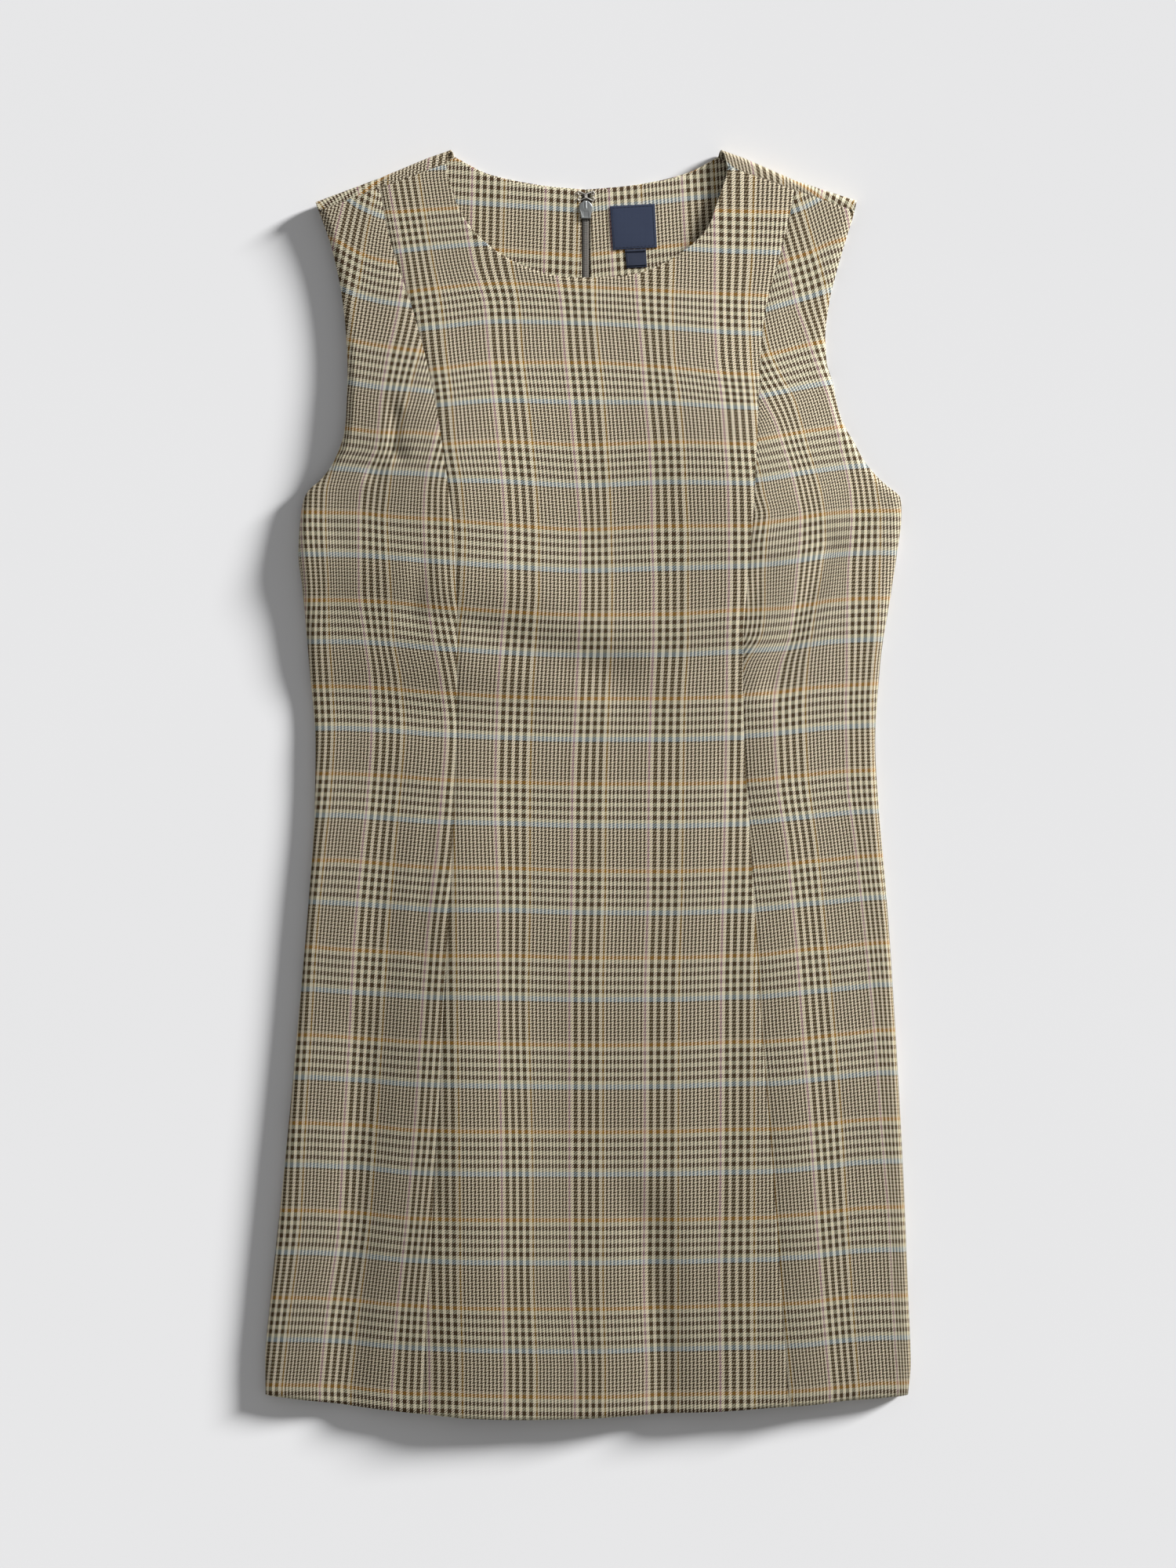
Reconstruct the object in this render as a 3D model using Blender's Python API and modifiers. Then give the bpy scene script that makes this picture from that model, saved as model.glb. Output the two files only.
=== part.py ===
# A sleeveless shift dress in checked wool, laid face up on a flat surface.
# The panels are cloth walls, sewn edge to edge: a front of three panels with
# princess seams, a back of two with a zip in its centre seam, and what shows
# inside the back neck. The back lies flat at z = 0, the front is lofted over
# it, and the cloth rolls round each side to a side seam at mid height.
#
# Plan positions are (x, down): x to the viewer's right of the middle, and
# down from the highest point of the shoulders towards the hem, in millimetres.

import math

import bmesh
import bpy
import numpy as np

MM = 0.001

# Driving sizes, in millimetres.
LENGTH = 923.0          # highest shoulder point to the lowest point of the hem
CLOTH = 1.3             # one panel
HEM_CLOTH = 2.6         # panel with its hem turned up inside it
HEM_DEPTH = 48.0
FACING_CLOTH = 1.0
LABEL_CLOTH = 0.9
SEAM_GAP = 0.3
SEAM_GROOVE = 0.9       # how far a princess seam is drawn in
SEAM_GROOVE_WIDTH = 7.0
SIDE_ROLL = 6.5         # how far in from a side seam the roll ends
SIDE_SEAM_HEIGHT = 5.0
ARMHOLE_EDGE_HEIGHT = 8.0
UNDERARM = 246.0        # where the armholes end and the side seams begin
UNDERARM_TURN = 22.0    # length over which an edge turns from armhole to side seam
BACK_TURN_DELAY = 12.0  # how much lower the back starts to turn up than the front
SHOULDER_FOLD = 4.0     # plan radius of the fold along the shoulder
CENTRE_BACK = -1.6      # x of the centre-back seam and its zip
CENTRE_BACK_TOP = 28.0  # where the back neckline meets it
ZIP_WIDTH = 5.2
ZIP_HEIGHT = 1.8
ZIP_END = 550.0
WIRE = 0.8              # hook and eye
RING_RADIUS = 1.2
LOOP_RADIUS = 1.5
HOOK_RINGS = (31.0, 35.2)   # how far down the sewing rings of hook and eye lie
RING_STEP = 40.0            # degrees from point to point round a ring
FACING_INSET = 0.8          # how far the facing lies inside the back neckline
FACING_CENTRE_DEPTH = 106.0 # how far down the facing reaches at the zip
FACING_RISE = 58.0          # how much higher its lower edge is at the shoulder
FACING_REACH = 112.0
FACING_ZIP_GAP = 0.4
FACING_ROWS = 5
PATCH_FACES = 3

# How many faces each stretch of a panel has.
NECK_FACES = 14
SHOULDER_FACES = 3
SIDE_FACES = 5
FRONT_ROLL = (0.0, 0.04, 0.16, 0.36, 0.58, 0.79)    # quarter turn, shares of it
BACK_ROLL = (0.0, 0.04, 0.24, 0.5, 0.76)
FOLD_ANGLES = (0, 45, 90, 135, 180)

# Where the rows of every panel meet its side edge, down from the shoulder. They
# are closest at the underarm, then over the bust, and a pair marks the hem line.
ROWS = [
    45, 66, 90, 115, 140, 164, 186, 206, 222, 234, 243, 250, 257, 264, 272, 281, 292, 305, 319, 334, 350,
    366, 382, 400, 420, 445, 475, 508, 542, 578, 614, 650, 686, 722, 758, 794, 828, 855, 858, 882, 906,
]
ROW_SHARES = [(row - ROWS[0]) / (ROWS[-1] - ROWS[0]) for row in ROWS]

# Sides of the body as laid: down, x. The armhole comes first, then the side seam.
LEFT_EDGE = [
    (38, -198.4), (46, -195.5), (56, -191.7), (71, -186.8), (89, -182.4), (108, -179.0), (131, -176.4),
    (160, -175.0), (188, -175.8), (205, -177.3), (225, -184.1), (234, -189.5), (242, -196.6), (247, -202.6),
    (252, -205.9), (262, -208.6), (279, -210.3), (294, -210.9), (319, -208.0), (376, -202.9), (433, -198.4),
    (484, -199.2), (547, -203.5), (633, -210.9), (747, -221.7), (832, -230.8), (883, -235.0), (906, -234.8),
]
RIGHT_EDGE = [
    (37, 195.5), (45, 193.9), (64, 188.2), (76, 184.6), (90, 180.7), (111, 175.6), (137, 172.7),
    (154, 173.6), (171, 178.4), (188, 181.8), (202, 187.0), (211, 192.5), (225, 200.1), (232, 205.1),
    (239, 211.5), (245, 218.1), (249, 223.6), (252, 226.9), (260, 228.2), (271, 228.0), (285, 226.3),
    (319, 221.2), (376, 212.6), (433, 209.2), (479, 211.8), (547, 217.7), (633, 223.4), (747, 229.7),
    (832, 233.1), (883, 235.0), (906, 233.0),
]

# Princess seams, from the shoulder over the bust to the hem: down, x.
LEFT_PRINCESS = [
    (28.5, -151.6), (46, -149.3), (69, -145.3), (82, -137.9), (107, -130.0), (121, -124.8), (142, -121.4),
    (165, -113.4), (194, -108.3), (219, -104.3), (243, -100.3), (274, -96.9), (314, -95.2), (376, -95.2),
    (422, -94.6), (467, -96.9), (556, -100.9), (613, -104.9), (707, -108.3), (767, -111.7), (826, -116.3),
    (919, -120.3),
]
RIGHT_PRINCESS = [
    (29.6, 149.9), (47, 147.6), (69, 141.4), (85, 137.4), (105, 130.5), (125, 126.5), (160, 124.8),
    (205, 123.1), (251, 120.3), (291, 118.6), (322, 115.1), (356, 112.3), (399, 112.3), (450, 114.6),
    (516, 119.7), (598, 123.1), (650, 126.5), (704, 131.7), (812, 139.1), (912, 145.3),
]
HEM = [  # x, down
    (-235, 906), (-211, 909), (-188, 911.5), (-165, 914.5), (-142, 917), (-120, 919), (-85, 922),
    (-46, 923), (-6, 922.5), (28, 920.5), (63, 918.5), (97, 917), (131, 914.5), (165, 912), (188, 909.5),
    (211, 908), (235, 906),
]

# Shoulders, outer end to neck: fold x, fold down, seam x, seam down. The back
# panel comes over the fold and ends at the seam, a little way down the front.
SHOULDERS = {
    "left": [(-198.4, 38, -195.8, 45), (-151.6, 20.5, -151.6, 28.5), (-102.4, 0, -103.2, 10.8)],
    "right": [(195.5, 37, 193.8, 45), (149.9, 22, 149.9, 29.6), (99.7, 0, 101.5, 12.5)],
}
FRONT_NECK = [  # x, down, from the left shoulder seam round to the right one
    (-103.2, 10.8), (-102.8, 15), (-100.9, 24), (-98.6, 31), (-92.3, 47), (-82.6, 60), (-66.7, 74),
    (-51.3, 83), (-31.9, 90), (-16, 93), (0, 93.5), (28.5, 92), (53, 84), (69.5, 74), (79.2, 66),
    (89.5, 52), (92.3, 43), (97.5, 28), (100.9, 17), (101.5, 12.5),
]
BACK_NECK = {  # x, down, from the shoulder fold to the zip
    "left": [(-96.9, 4.6), (-85.5, 10.8), (-74.1, 16.2), (-62.7, 19.4), (-51.3, 21.9), (-28.5, 25.7)],
    "right": [(95.2, 4.4), (85.5, 9.6), (74.1, 15.4), (62.7, 18.8), (51.3, 21.6), (28.5, 25.4)],
}
FACING_END = {"left": [(-112, 12), (-103, 7.6)], "right": [(110, 12), (101, 7.6)]}  # x, down

# Height of the front over the surface: down, height beside the roll, extra in the middle.
LOFT = [
    (0, 9.0, 0.5), (60, 9.6, 1.2), (130, 10.0, 2.4), (200, 10.0, 4.2), (260, 9.4, 5.8), (340, 8.8, 7.0),
    (420, 8.6, 7.4), (560, 8.6, 8.0), (760, 8.9, 8.4), (923, 9.2, 8.2),
]
SWELLS = [  # x, down, half width, half length, height
    (-104, 238, 58, 84, 7.0),
    (112, 232, 58, 84, 6.6),
    (-98, 640, 44, 260, 3.0),
    (104, 600, 44, 240, 3.0),
]
FOLDS = [  # from x, from down, to x, to down, half width, height (a trough is negative)
    (-136, 196, -138, 222, 6, -2.2),
    (-138, 222, -156, 236, 6, -1.8),
    (-70, 352, 18, 384, 20, -2.0),
    (18, 384, 100, 366, 18, -1.6),
    (177, 290, 134, 388, 9, -1.8),
    (131, 303, 116, 343, 8, -1.2),
    (-118, 298, -128, 340, 9, -1.4),
    (46, 780, 58, 923, 18, -2.6),
    (-168, 640, -176, 923, 16, -1.6),
    (186, 700, 190, 923, 14, -1.4),
]

LABEL_CORNERS = [(16.0, 40.5), (48.7, 38.7), (50.2, 70.6), (18.2, 72.4)]
SIZE_TAB_CORNERS = [(26.8, 72.3), (42.2, 71.5), (43.0, 84.9), (28.2, 85.6)]
SLIDER_HALF_WIDTHS = [  # down, half width
    (36.5, 1.5), (37.6, 3.0), (39.4, 4.4), (41.6, 5.1), (43.6, 5.0), (46.0, 4.1), (47.6, 3.8), (49.9, 3.7),
]

SLIDER_LAYERS = [  # height over the facing, size against the outline
    (0, 0.9), (0.7, 1), (1.5, 0.97), (2.1, 0.8), (2.3, 0.55),
]
HOOK_AND_EYE = [  # name, x of the sewing rings, x of the loop's tip, way it points, lift
    ("eye", -6.2, -0.9, 1, 0),
    ("hook", 3.4, -2.2, -1, 1.1),
]

FINISHES = {  # base colour, roughness, metallic
    "wool": ((0.34, 0.30, 0.22), 0.92, 0),
    "label": ((0.024, 0.034, 0.067), 0.85, 0),
    "tab": ((0.026, 0.036, 0.060), 0.85, 0),
    "coil": ((0.13, 0.12, 0.11), 0.5, 0),
    "slider": ((0.38, 0.39, 0.39), 0.35, 1),
    "wire": ((0.62, 0.60, 0.57), 0.35, 1),
}


def smooth(table, at, column=1):
    """A column of a table, read at any place between its rows, with no overshoot."""
    keys = np.array([row[0] for row in table], float)
    values = np.array([row[column] for row in table], float)
    steps = np.diff(keys)
    slopes = np.diff(values) / steps
    same_way = slopes[:-1] * slopes[1:] > 0
    before = 2 * steps[1:] + steps[:-1]
    after = steps[1:] + 2 * steps[:-1]
    pull = before / np.where(same_way, slopes[:-1], 1) + after / np.where(same_way, slopes[1:], 1)
    leans = np.concatenate([slopes[:1], np.where(same_way, (before + after) / pull, 0), slopes[-1:]])
    at = np.clip(at, keys[0], keys[-1])
    row = np.clip(np.searchsorted(keys, at) - 1, 0, len(steps) - 1)
    part = (at - keys[row]) / steps[row]
    step = part * part * (3 - 2 * part)
    bend = (part**3 - 2 * part**2 + part) * leans[row] + (part**3 - part**2) * leans[row + 1]
    return values[row] + step * (values[row + 1] - values[row]) + steps[row] * bend


def between(first, last, share):
    return first + (last - first) * share


def ramp(value, start, length):
    """0 before start, 1 after start + length, and a soft step between."""
    share = np.clip((value - start) / length, 0, 1)
    return share * share * (3 - 2 * share)


def inward(side):
    """+1 where the middle of the dress lies at higher x, -1 where at lower x."""
    return 1 if side == "left" else -1


def edge_x(side, down):
    return smooth(LEFT_EDGE if side == "left" else RIGHT_EDGE, down)


def princess_x(side, down):
    return smooth(LEFT_PRINCESS if side == "left" else RIGHT_PRINCESS, down)


def hem_down(x):
    return smooth(HEM, x)


def front_height(x, down):
    """Height of the front's outer face, leaving out the rolls at the sides."""
    left = edge_x("left", down)
    right = edge_x("right", down)
    across = (2 * x - left - right) / (right - left)
    height = smooth(LOFT, down) + smooth(LOFT, down, 2) * (1 - across**2)
    for swell_x, swell_down, half_width, half_length, rise in SWELLS:
        off = ((x - swell_x) / half_width) ** 2 + ((down - swell_down) / half_length) ** 2
        height += rise * np.exp(-off)
    for x_1, down_1, x_2, down_2, half_width, rise in FOLDS:
        run_x, run_down = x_2 - x_1, down_2 - down_1
        share = ((x - x_1) * run_x + (down - down_1) * run_down) / (run_x**2 + run_down**2)
        share = np.clip(share, 0, 1)
        off = np.hypot(x - between(x_1, x_2, share), down - between(down_1, down_2, share))
        height += rise * np.exp(-((off / half_width) ** 2))
    for side in ("left", "right"):
        off = (x - princess_x(side, down)) / SEAM_GROOVE_WIDTH
        height -= SEAM_GROOVE * np.exp(-(off**2))
    return height


def to_world(x, down, height):
    """Plan millimetres and height to metres in the part's own frame."""
    return x * MM, (LENGTH / 2 - down) * MM, height * MM


def spread(path, faces):
    """Points spread over a path, a little closer together where it is steep."""
    points = np.array(path, float)
    steps = np.hypot(np.diff(points[:, 0]), 0.45 * np.diff(points[:, 1]))
    lengths = np.concatenate([[0], np.cumsum(steps)])
    at = np.linspace(0, lengths[-1], faces + 1)
    xs = smooth(list(zip(lengths, points[:, 0])), at)
    downs = smooth(list(zip(lengths, points[:, 1])), at)
    return np.column_stack([xs, downs])


def plan_rows(tops, first_edge, last_edge):
    """Rows of plan points from an upper edge to the hem, between two edges given as functions of down."""
    tops = np.array(tops, float)
    top_shares = (tops[:, 0] - tops[0, 0]) / (tops[-1, 0] - tops[0, 0])
    hem_shares = np.linspace(0, 1, len(tops))
    feet = hem_down(between(first_edge(LENGTH), last_edge(LENGTH), hem_shares))
    rows = [tops]
    for part in ROW_SHARES[1:]:
        downs = between(tops[:, 1], feet, part)
        shares = between(top_shares, hem_shares, part)
        xs = between(first_edge(downs[0]), last_edge(downs[-1]), shares)
        rows.append(np.column_stack([xs, downs]))
    return rows


def rolled_rows(side, rows, stops, tip, turned):
    """Adds the columns that roll out to a side edge, with each column's share of the quarter turn."""
    plans, turns = [], []
    for number, row in enumerate(rows):
        edge = np.array(tip if number == 0 else (edge_x(side, ROWS[number]), ROWS[number]))
        bends = [between(stop, 1 - math.cos(math.pi / 2 * stop), turned[number]) for stop in stops]
        plans.append(np.vstack([between(edge, row[0], bend) for bend in bends] + [row]))
        turns.append(np.concatenate([np.sin(np.pi / 2 * np.array(stops)), np.ones(len(row))]))
    return plans, turns


def shoulder_rows(side):
    """A shoulder's fold and seam points, evenly from its outer end to the neck."""
    rows = np.array(SHOULDERS[side], float)
    parts = np.arange(SHOULDER_FACES) / SHOULDER_FACES
    spans = [between(first, last, part) for first, last in zip(rows, rows[1:]) for part in parts]
    return np.array(spans + [rows[-1]])


def roll_end(side):
    """The shoulder's fold and seam points where the roll from the armhole ends."""
    tip, middle = np.array(SHOULDERS[side][:2], float)
    return between(tip, middle, SIDE_ROLL / abs(middle[0] - tip[0]))


def outwards(row):
    """The way over the shoulder, from its seam to its fold."""
    return (row[:2] - row[2:]) / np.linalg.norm(row[:2] - row[2:])


def fold_start(row):
    """Where the flat back ends and its fold round the shoulder begins."""
    return row[:2] - SHOULDER_FOLD * outwards(row)


def own_material(name, finish):
    colour, roughness, metallic = FINISHES[finish]
    material = bpy.data.materials.new(name)
    material.use_nodes = True
    shader = material.node_tree.nodes["Principled BSDF"]
    shader.inputs["Base Color"].default_value = (*colour, 1)
    shader.inputs["Roughness"].default_value = roughness
    shader.inputs["Metallic"].default_value = metallic
    return material


def add_piece(name, data, finish, dress):
    """Puts mesh or curve data in the dress as a named piece with its own material."""
    data.name = name
    data.materials.append(own_material(name, finish))
    piece = bpy.data.objects.new(name, data)
    dress.objects.link(piece)
    return piece


def sheet_mesh(grids, face_up):
    """Grids of points sewn into one open sheet, its faces all up or all down."""
    sheet = bmesh.new()
    for rows in grids:
        corners = [[sheet.verts.new(point) for point in row] for row in rows]
        for upper, lower in zip(corners, corners[1:]):
            for column in range(len(upper) - 1):
                sheet.faces.new([upper[column], lower[column], lower[column + 1], upper[column + 1]])
    bmesh.ops.remove_doubles(sheet, verts=sheet.verts, dist=0.02 * MM)
    sheet.normal_update()
    is_up = sum(face.normal.z * face.calc_area() for face in sheet.faces) > 0
    if is_up != face_up:
        bmesh.ops.reverse_faces(sheet, faces=sheet.faces)
    data = bpy.data.meshes.new("sheet")
    sheet.to_mesh(data)
    sheet.free()
    data.shade_smooth()
    return data


def cloth(name, grids, face_up, thickness, finish, dress):
    """A cloth wall: a sheet of outer points, thickened inwards."""
    piece = add_piece(name, sheet_mesh(grids, face_up), finish, dress)
    wall = piece.modifiers.new("wall", "SOLIDIFY")
    wall.thickness = thickness * MM
    wall.offset = -1
    return piece


def panel(name, grids, face_up, dress):
    """A main panel: cloth, twice as thick where its hem is turned up inside."""
    piece = cloth(name, grids, face_up, HEM_CLOTH, "wool", dress)
    hem = piece.vertex_groups.new(name="turned hem")
    for vertex in piece.data.vertices:
        down = LENGTH / 2 - vertex.co.y / MM
        if down > hem_down(vertex.co.x / MM) - HEM_DEPTH - 1:
            hem.add([vertex.index], 1, "REPLACE")
    wall = piece.modifiers["wall"]
    wall.vertex_group = hem.name
    wall.thickness_vertex_group = CLOTH / HEM_CLOTH
    return piece


def front_centre(dress):
    """The middle front, from princess seam to princess seam, with the neckline in its upper edge."""
    half_gap = SEAM_GAP / 2
    left = shoulder_rows("left")[SHOULDER_FACES:, 2:] + (0, half_gap)
    right = shoulder_rows("right")[SHOULDER_FACES:, 2:] + (0, half_gap)
    left[0, 0] += half_gap
    right[0, 0] -= half_gap
    neck = spread(FRONT_NECK, NECK_FACES)
    tops = np.vstack([left, neck[1:-1], right[::-1]])
    plans = plan_rows(
        tops,
        lambda down: princess_x("left", down) + half_gap,
        lambda down: princess_x("right", down) - half_gap,
    )
    grid = [[to_world(x, down, front_height(x, down)) for x, down in row] for row in plans]
    panel("front_centre", [grid], True, dress)


def front_side(side, dress):
    """A side front: armhole and side seam on one edge, princess seam on the other."""
    way = inward(side)
    half_gap = SEAM_GAP / 2
    start, princess = roll_end(side)[2:], np.array(SHOULDERS[side][1][2:], float)
    tops = [between(start, princess, part) for part in np.linspace(0, 1, SIDE_FACES + 1)]
    tops = np.array(tops) + (0, half_gap)
    tops[-1, 0] -= way * half_gap
    tip = (SHOULDERS[side][0][2], SHOULDERS[side][0][3] + half_gap)
    rows = plan_rows(
        tops,
        lambda down: edge_x(side, down) + way * SIDE_ROLL,
        lambda down: princess_x(side, down) - way * half_gap,
    )
    turned = [ramp(down, UNDERARM, UNDERARM_TURN) for down in ROWS]
    plans, turns = rolled_rows(side, rows, FRONT_ROLL, tip, turned)
    grid = []
    for share, plan, turn in zip(turned, plans, turns):
        edge = between(ARMHOLE_EDGE_HEIGHT, SIDE_SEAM_HEIGHT + half_gap, share)
        heights = between(edge, front_height(plan[:, 0], plan[:, 1]), turn)
        grid.append([to_world(*place, height) for place, height in zip(plan, heights)])
    panel(f"front_side_{side}", [grid], True, dress)


def shoulder_strip(rows):
    """The back's strip, from its flat round the shoulder fold to the seam on the front."""
    columns = []
    for row in rows:
        way = outwards(row)
        start = fold_start(row)
        top = front_height(*start)
        column = []
        for angle in FOLD_ANGLES:
            turn = math.radians(angle)
            place = start + SHOULDER_FOLD * math.sin(turn) * way
            column.append(to_world(*place, top / 2 * (1 - math.cos(turn))))
        end = row[2:] + SEAM_GAP / 2 * way
        column.append(to_world(*end, front_height(*end)))
        columns.append(column)
    return list(zip(*columns))[::-1]


def back(side, dress):
    """Half of the back, flat on the surface, rolled up to the side seam and over the shoulder."""
    way = inward(side)
    centre = CENTRE_BACK - way * SEAM_GAP / 2
    tip = np.array(SHOULDERS[side][0], float)
    shoulder = np.vstack([roll_end(side), shoulder_rows(side)[1:]])
    neck = np.array(BACK_NECK[side] + [(centre, CENTRE_BACK_TOP)])
    tops = np.vstack([[fold_start(row) for row in shoulder], neck])
    rows = plan_rows(tops, lambda down: edge_x(side, down) + way * SIDE_ROLL, lambda down: centre)
    turned = [ramp(down, UNDERARM + BACK_TURN_DELAY, UNDERARM_TURN) for down in ROWS]
    plans, turns = rolled_rows(side, rows, BACK_ROLL, fold_start(tip), turned)
    grid = []
    for share, plan, turn in zip(turned, plans, turns):
        heights = (SIDE_SEAM_HEIGHT - SEAM_GAP / 2) * share * (1 - turn)
        grid.append([to_world(*place, height) for place, height in zip(plan, heights)])
    rolled = [between(tip, shoulder[0], stop) for stop in BACK_ROLL]
    strip = shoulder_strip(rolled + list(shoulder))
    panel(f"back_{side}", [strip, grid], False, dress)


def back_neck_facing(side, dress):
    """The shaped band inside the back neck, lying on the back panel on its side of the zip."""
    way = inward(side)
    end = CENTRE_BACK - way * (ZIP_WIDTH / 2 + FACING_ZIP_GAP)
    uppers = [(x, down + FACING_INSET) for x, down in FACING_END[side] + BACK_NECK[side]]
    uppers.append((end, CENTRE_BACK_TOP + FACING_INSET))
    grid = []
    for part in np.linspace(0, 1, FACING_ROWS + 1):
        row = []
        for x, down in uppers:
            across = abs(x - end) / FACING_REACH
            foot = FACING_CENTRE_DEPTH - FACING_RISE * across**2
            row.append(to_world(x, between(down, foot, part), CLOTH + SEAM_GAP + FACING_CLOTH))
        grid.append(row)
    cloth(f"back_neck_facing_{side}", [grid], True, FACING_CLOTH, "wool", dress)


def woven_patch(name, corners, finish, dress):
    """A small flat patch on the right-hand facing, given by its corners clockwise from the upper left."""
    upper_left, upper_right, lower_right, lower_left = np.array(corners, float)
    top = CLOTH + FACING_CLOTH + 2 * SEAM_GAP + LABEL_CLOTH
    shares = np.linspace(0, 1, PATCH_FACES + 1)
    grid = []
    for part in shares:
        first, last = between(upper_left, lower_left, part), between(upper_right, lower_right, part)
        grid.append([to_world(*between(first, last, share), top) for share in shares])
    cloth(name, [grid], True, LABEL_CLOTH, finish, dress)


def zip_chain(dress):
    """The closed coils of the zip, in the gap between the facings and on down the centre back."""
    low = CLOTH + SEAM_GAP
    start = SLIDER_HALF_WIDTHS[-1][0] + SEAM_GAP
    size = (ZIP_WIDTH, ZIP_END - start, ZIP_HEIGHT)
    middle = to_world(CENTRE_BACK, (start + ZIP_END) / 2, low + ZIP_HEIGHT / 2)
    bpy.ops.mesh.primitive_cube_add(size=1, location=middle)
    block = bpy.context.object
    block.scale = [length * MM for length in size]
    bpy.ops.object.transform_apply(location=False, rotation=False, scale=True)
    data = block.data
    bpy.data.objects.remove(block)
    chain = add_piece("zip_chain", data, "coil", dress)
    chain.location = middle
    rounding = chain.modifiers.new("rounding", "BEVEL")
    rounding.width = ZIP_HEIGHT * 0.4 * MM
    rounding.segments = 2


def zip_slider(dress):
    """The shield-shaped body of the slider, at the top of the zip, with its raised nose."""
    low = CLOTH + FACING_CLOTH + 2 * SEAM_GAP
    outline = [(half, down) for down, half in SLIDER_HALF_WIDTHS]
    outline += [(-half, down) for half, down in reversed(outline)]
    middle_down = (outline[0][1] + SLIDER_HALF_WIDTHS[-1][0]) / 2
    body = bmesh.new()
    rings = []
    for rise, size in SLIDER_LAYERS:
        ring = []
        for x, down in outline:
            place = (CENTRE_BACK + x * size, between(middle_down, down, size), low + rise)
            ring.append(body.verts.new(to_world(*place)))
        rings.append(ring)
    for lower, upper in zip(rings, rings[1:]):
        for first in range(len(outline)):
            second = (first + 1) % len(outline)
            body.faces.new([lower[first], lower[second], upper[second], upper[first]])
    body.faces.new(rings[0][::-1])
    body.faces.new(rings[-1])
    bmesh.ops.recalc_face_normals(body, faces=body.faces)
    data = bpy.data.meshes.new("slider")
    body.to_mesh(data)
    body.free()
    add_piece("zip_slider", data, "slider", dress)


def wire_piece(name, points, dress):
    """A bent wire through plan points with heights."""
    data = bpy.data.curves.new(name, "CURVE")
    data.dimensions = "3D"
    data.bevel_depth = WIRE / 2 * MM
    data.bevel_resolution = 1
    data.use_fill_caps = True
    spline = data.splines.new("POLY")
    spline.points.add(len(points) - 1)
    for point, place in zip(spline.points, points):
        point.co = (*to_world(*place), 1)
    add_piece(name, data, "wire", dress)


def ring_points(centre, start, end, height, radius):
    """Points round a small sewing ring, between two angles in degrees from +x towards the hem."""
    count = max(3, round(abs(end - start) / RING_STEP))
    turns = [math.radians(between(start, end, step / count)) for step in range(count + 1)]
    x, down = centre
    return [(x + radius * math.cos(turn), down + radius * math.sin(turn), height) for turn in turns]


def hook_and_eye(dress):
    """The fastening above the zip: an eye on the left facing and the hook through it on the right."""
    low = CLOTH + FACING_CLOTH + 2 * SEAM_GAP + WIRE / 2
    for name, ring_x, tip_x, way, lift in HOOK_AND_EYE:
        upper, lower = (ring_x, HOOK_RINGS[0]), (ring_x, HOOK_RINGS[1])
        facing = 0 if way > 0 else 180
        first = ring_points(upper, facing + 40 * way, facing + 320 * way, low, RING_RADIUS)
        last = ring_points(lower, facing + 40 * way, facing + 320 * way, low, RING_RADIUS)
        middle = sum(HOOK_RINGS) / 2
        loop = ring_points((tip_x - way * LOOP_RADIUS, middle), facing - 90 * way, facing + 90 * way, low + lift,
                           LOOP_RADIUS)
        wire_piece(name, first + loop + last, dress)


def make_dress():
    for old in list(bpy.data.objects):
        bpy.data.objects.remove(old, do_unlink=True)
    dress = bpy.data.collections.new("shift_dress")
    bpy.context.scene.collection.children.link(dress)
    front_centre(dress)
    for side in ("left", "right"):
        front_side(side, dress)
        back(side, dress)
        back_neck_facing(side, dress)
    zip_chain(dress)
    zip_slider(dress)
    hook_and_eye(dress)
    woven_patch("label", LABEL_CORNERS, "label", dress)
    woven_patch("size_tab", SIZE_TAB_CORNERS, "tab", dress)


make_dress()
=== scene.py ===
import math

import bmesh
import bpy
import numpy as np
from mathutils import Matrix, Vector


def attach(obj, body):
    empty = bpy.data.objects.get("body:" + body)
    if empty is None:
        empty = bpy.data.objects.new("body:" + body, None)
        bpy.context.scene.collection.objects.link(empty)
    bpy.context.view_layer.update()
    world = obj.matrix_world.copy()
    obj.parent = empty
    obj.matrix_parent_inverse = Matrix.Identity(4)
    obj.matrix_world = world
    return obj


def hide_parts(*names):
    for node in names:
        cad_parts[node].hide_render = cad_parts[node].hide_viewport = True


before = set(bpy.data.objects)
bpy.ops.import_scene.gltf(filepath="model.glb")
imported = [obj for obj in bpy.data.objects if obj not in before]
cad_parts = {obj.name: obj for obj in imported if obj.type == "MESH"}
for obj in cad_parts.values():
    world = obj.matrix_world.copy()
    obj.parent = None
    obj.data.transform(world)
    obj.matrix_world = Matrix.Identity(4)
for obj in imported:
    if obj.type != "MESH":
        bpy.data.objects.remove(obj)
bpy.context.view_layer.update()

# Plan places are (x, down) in millimetres: x to the viewer's right of the middle, and down from
# the highest point of the shoulders. Heights are over the surface that the dress lies on.
mm = 0.001

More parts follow.
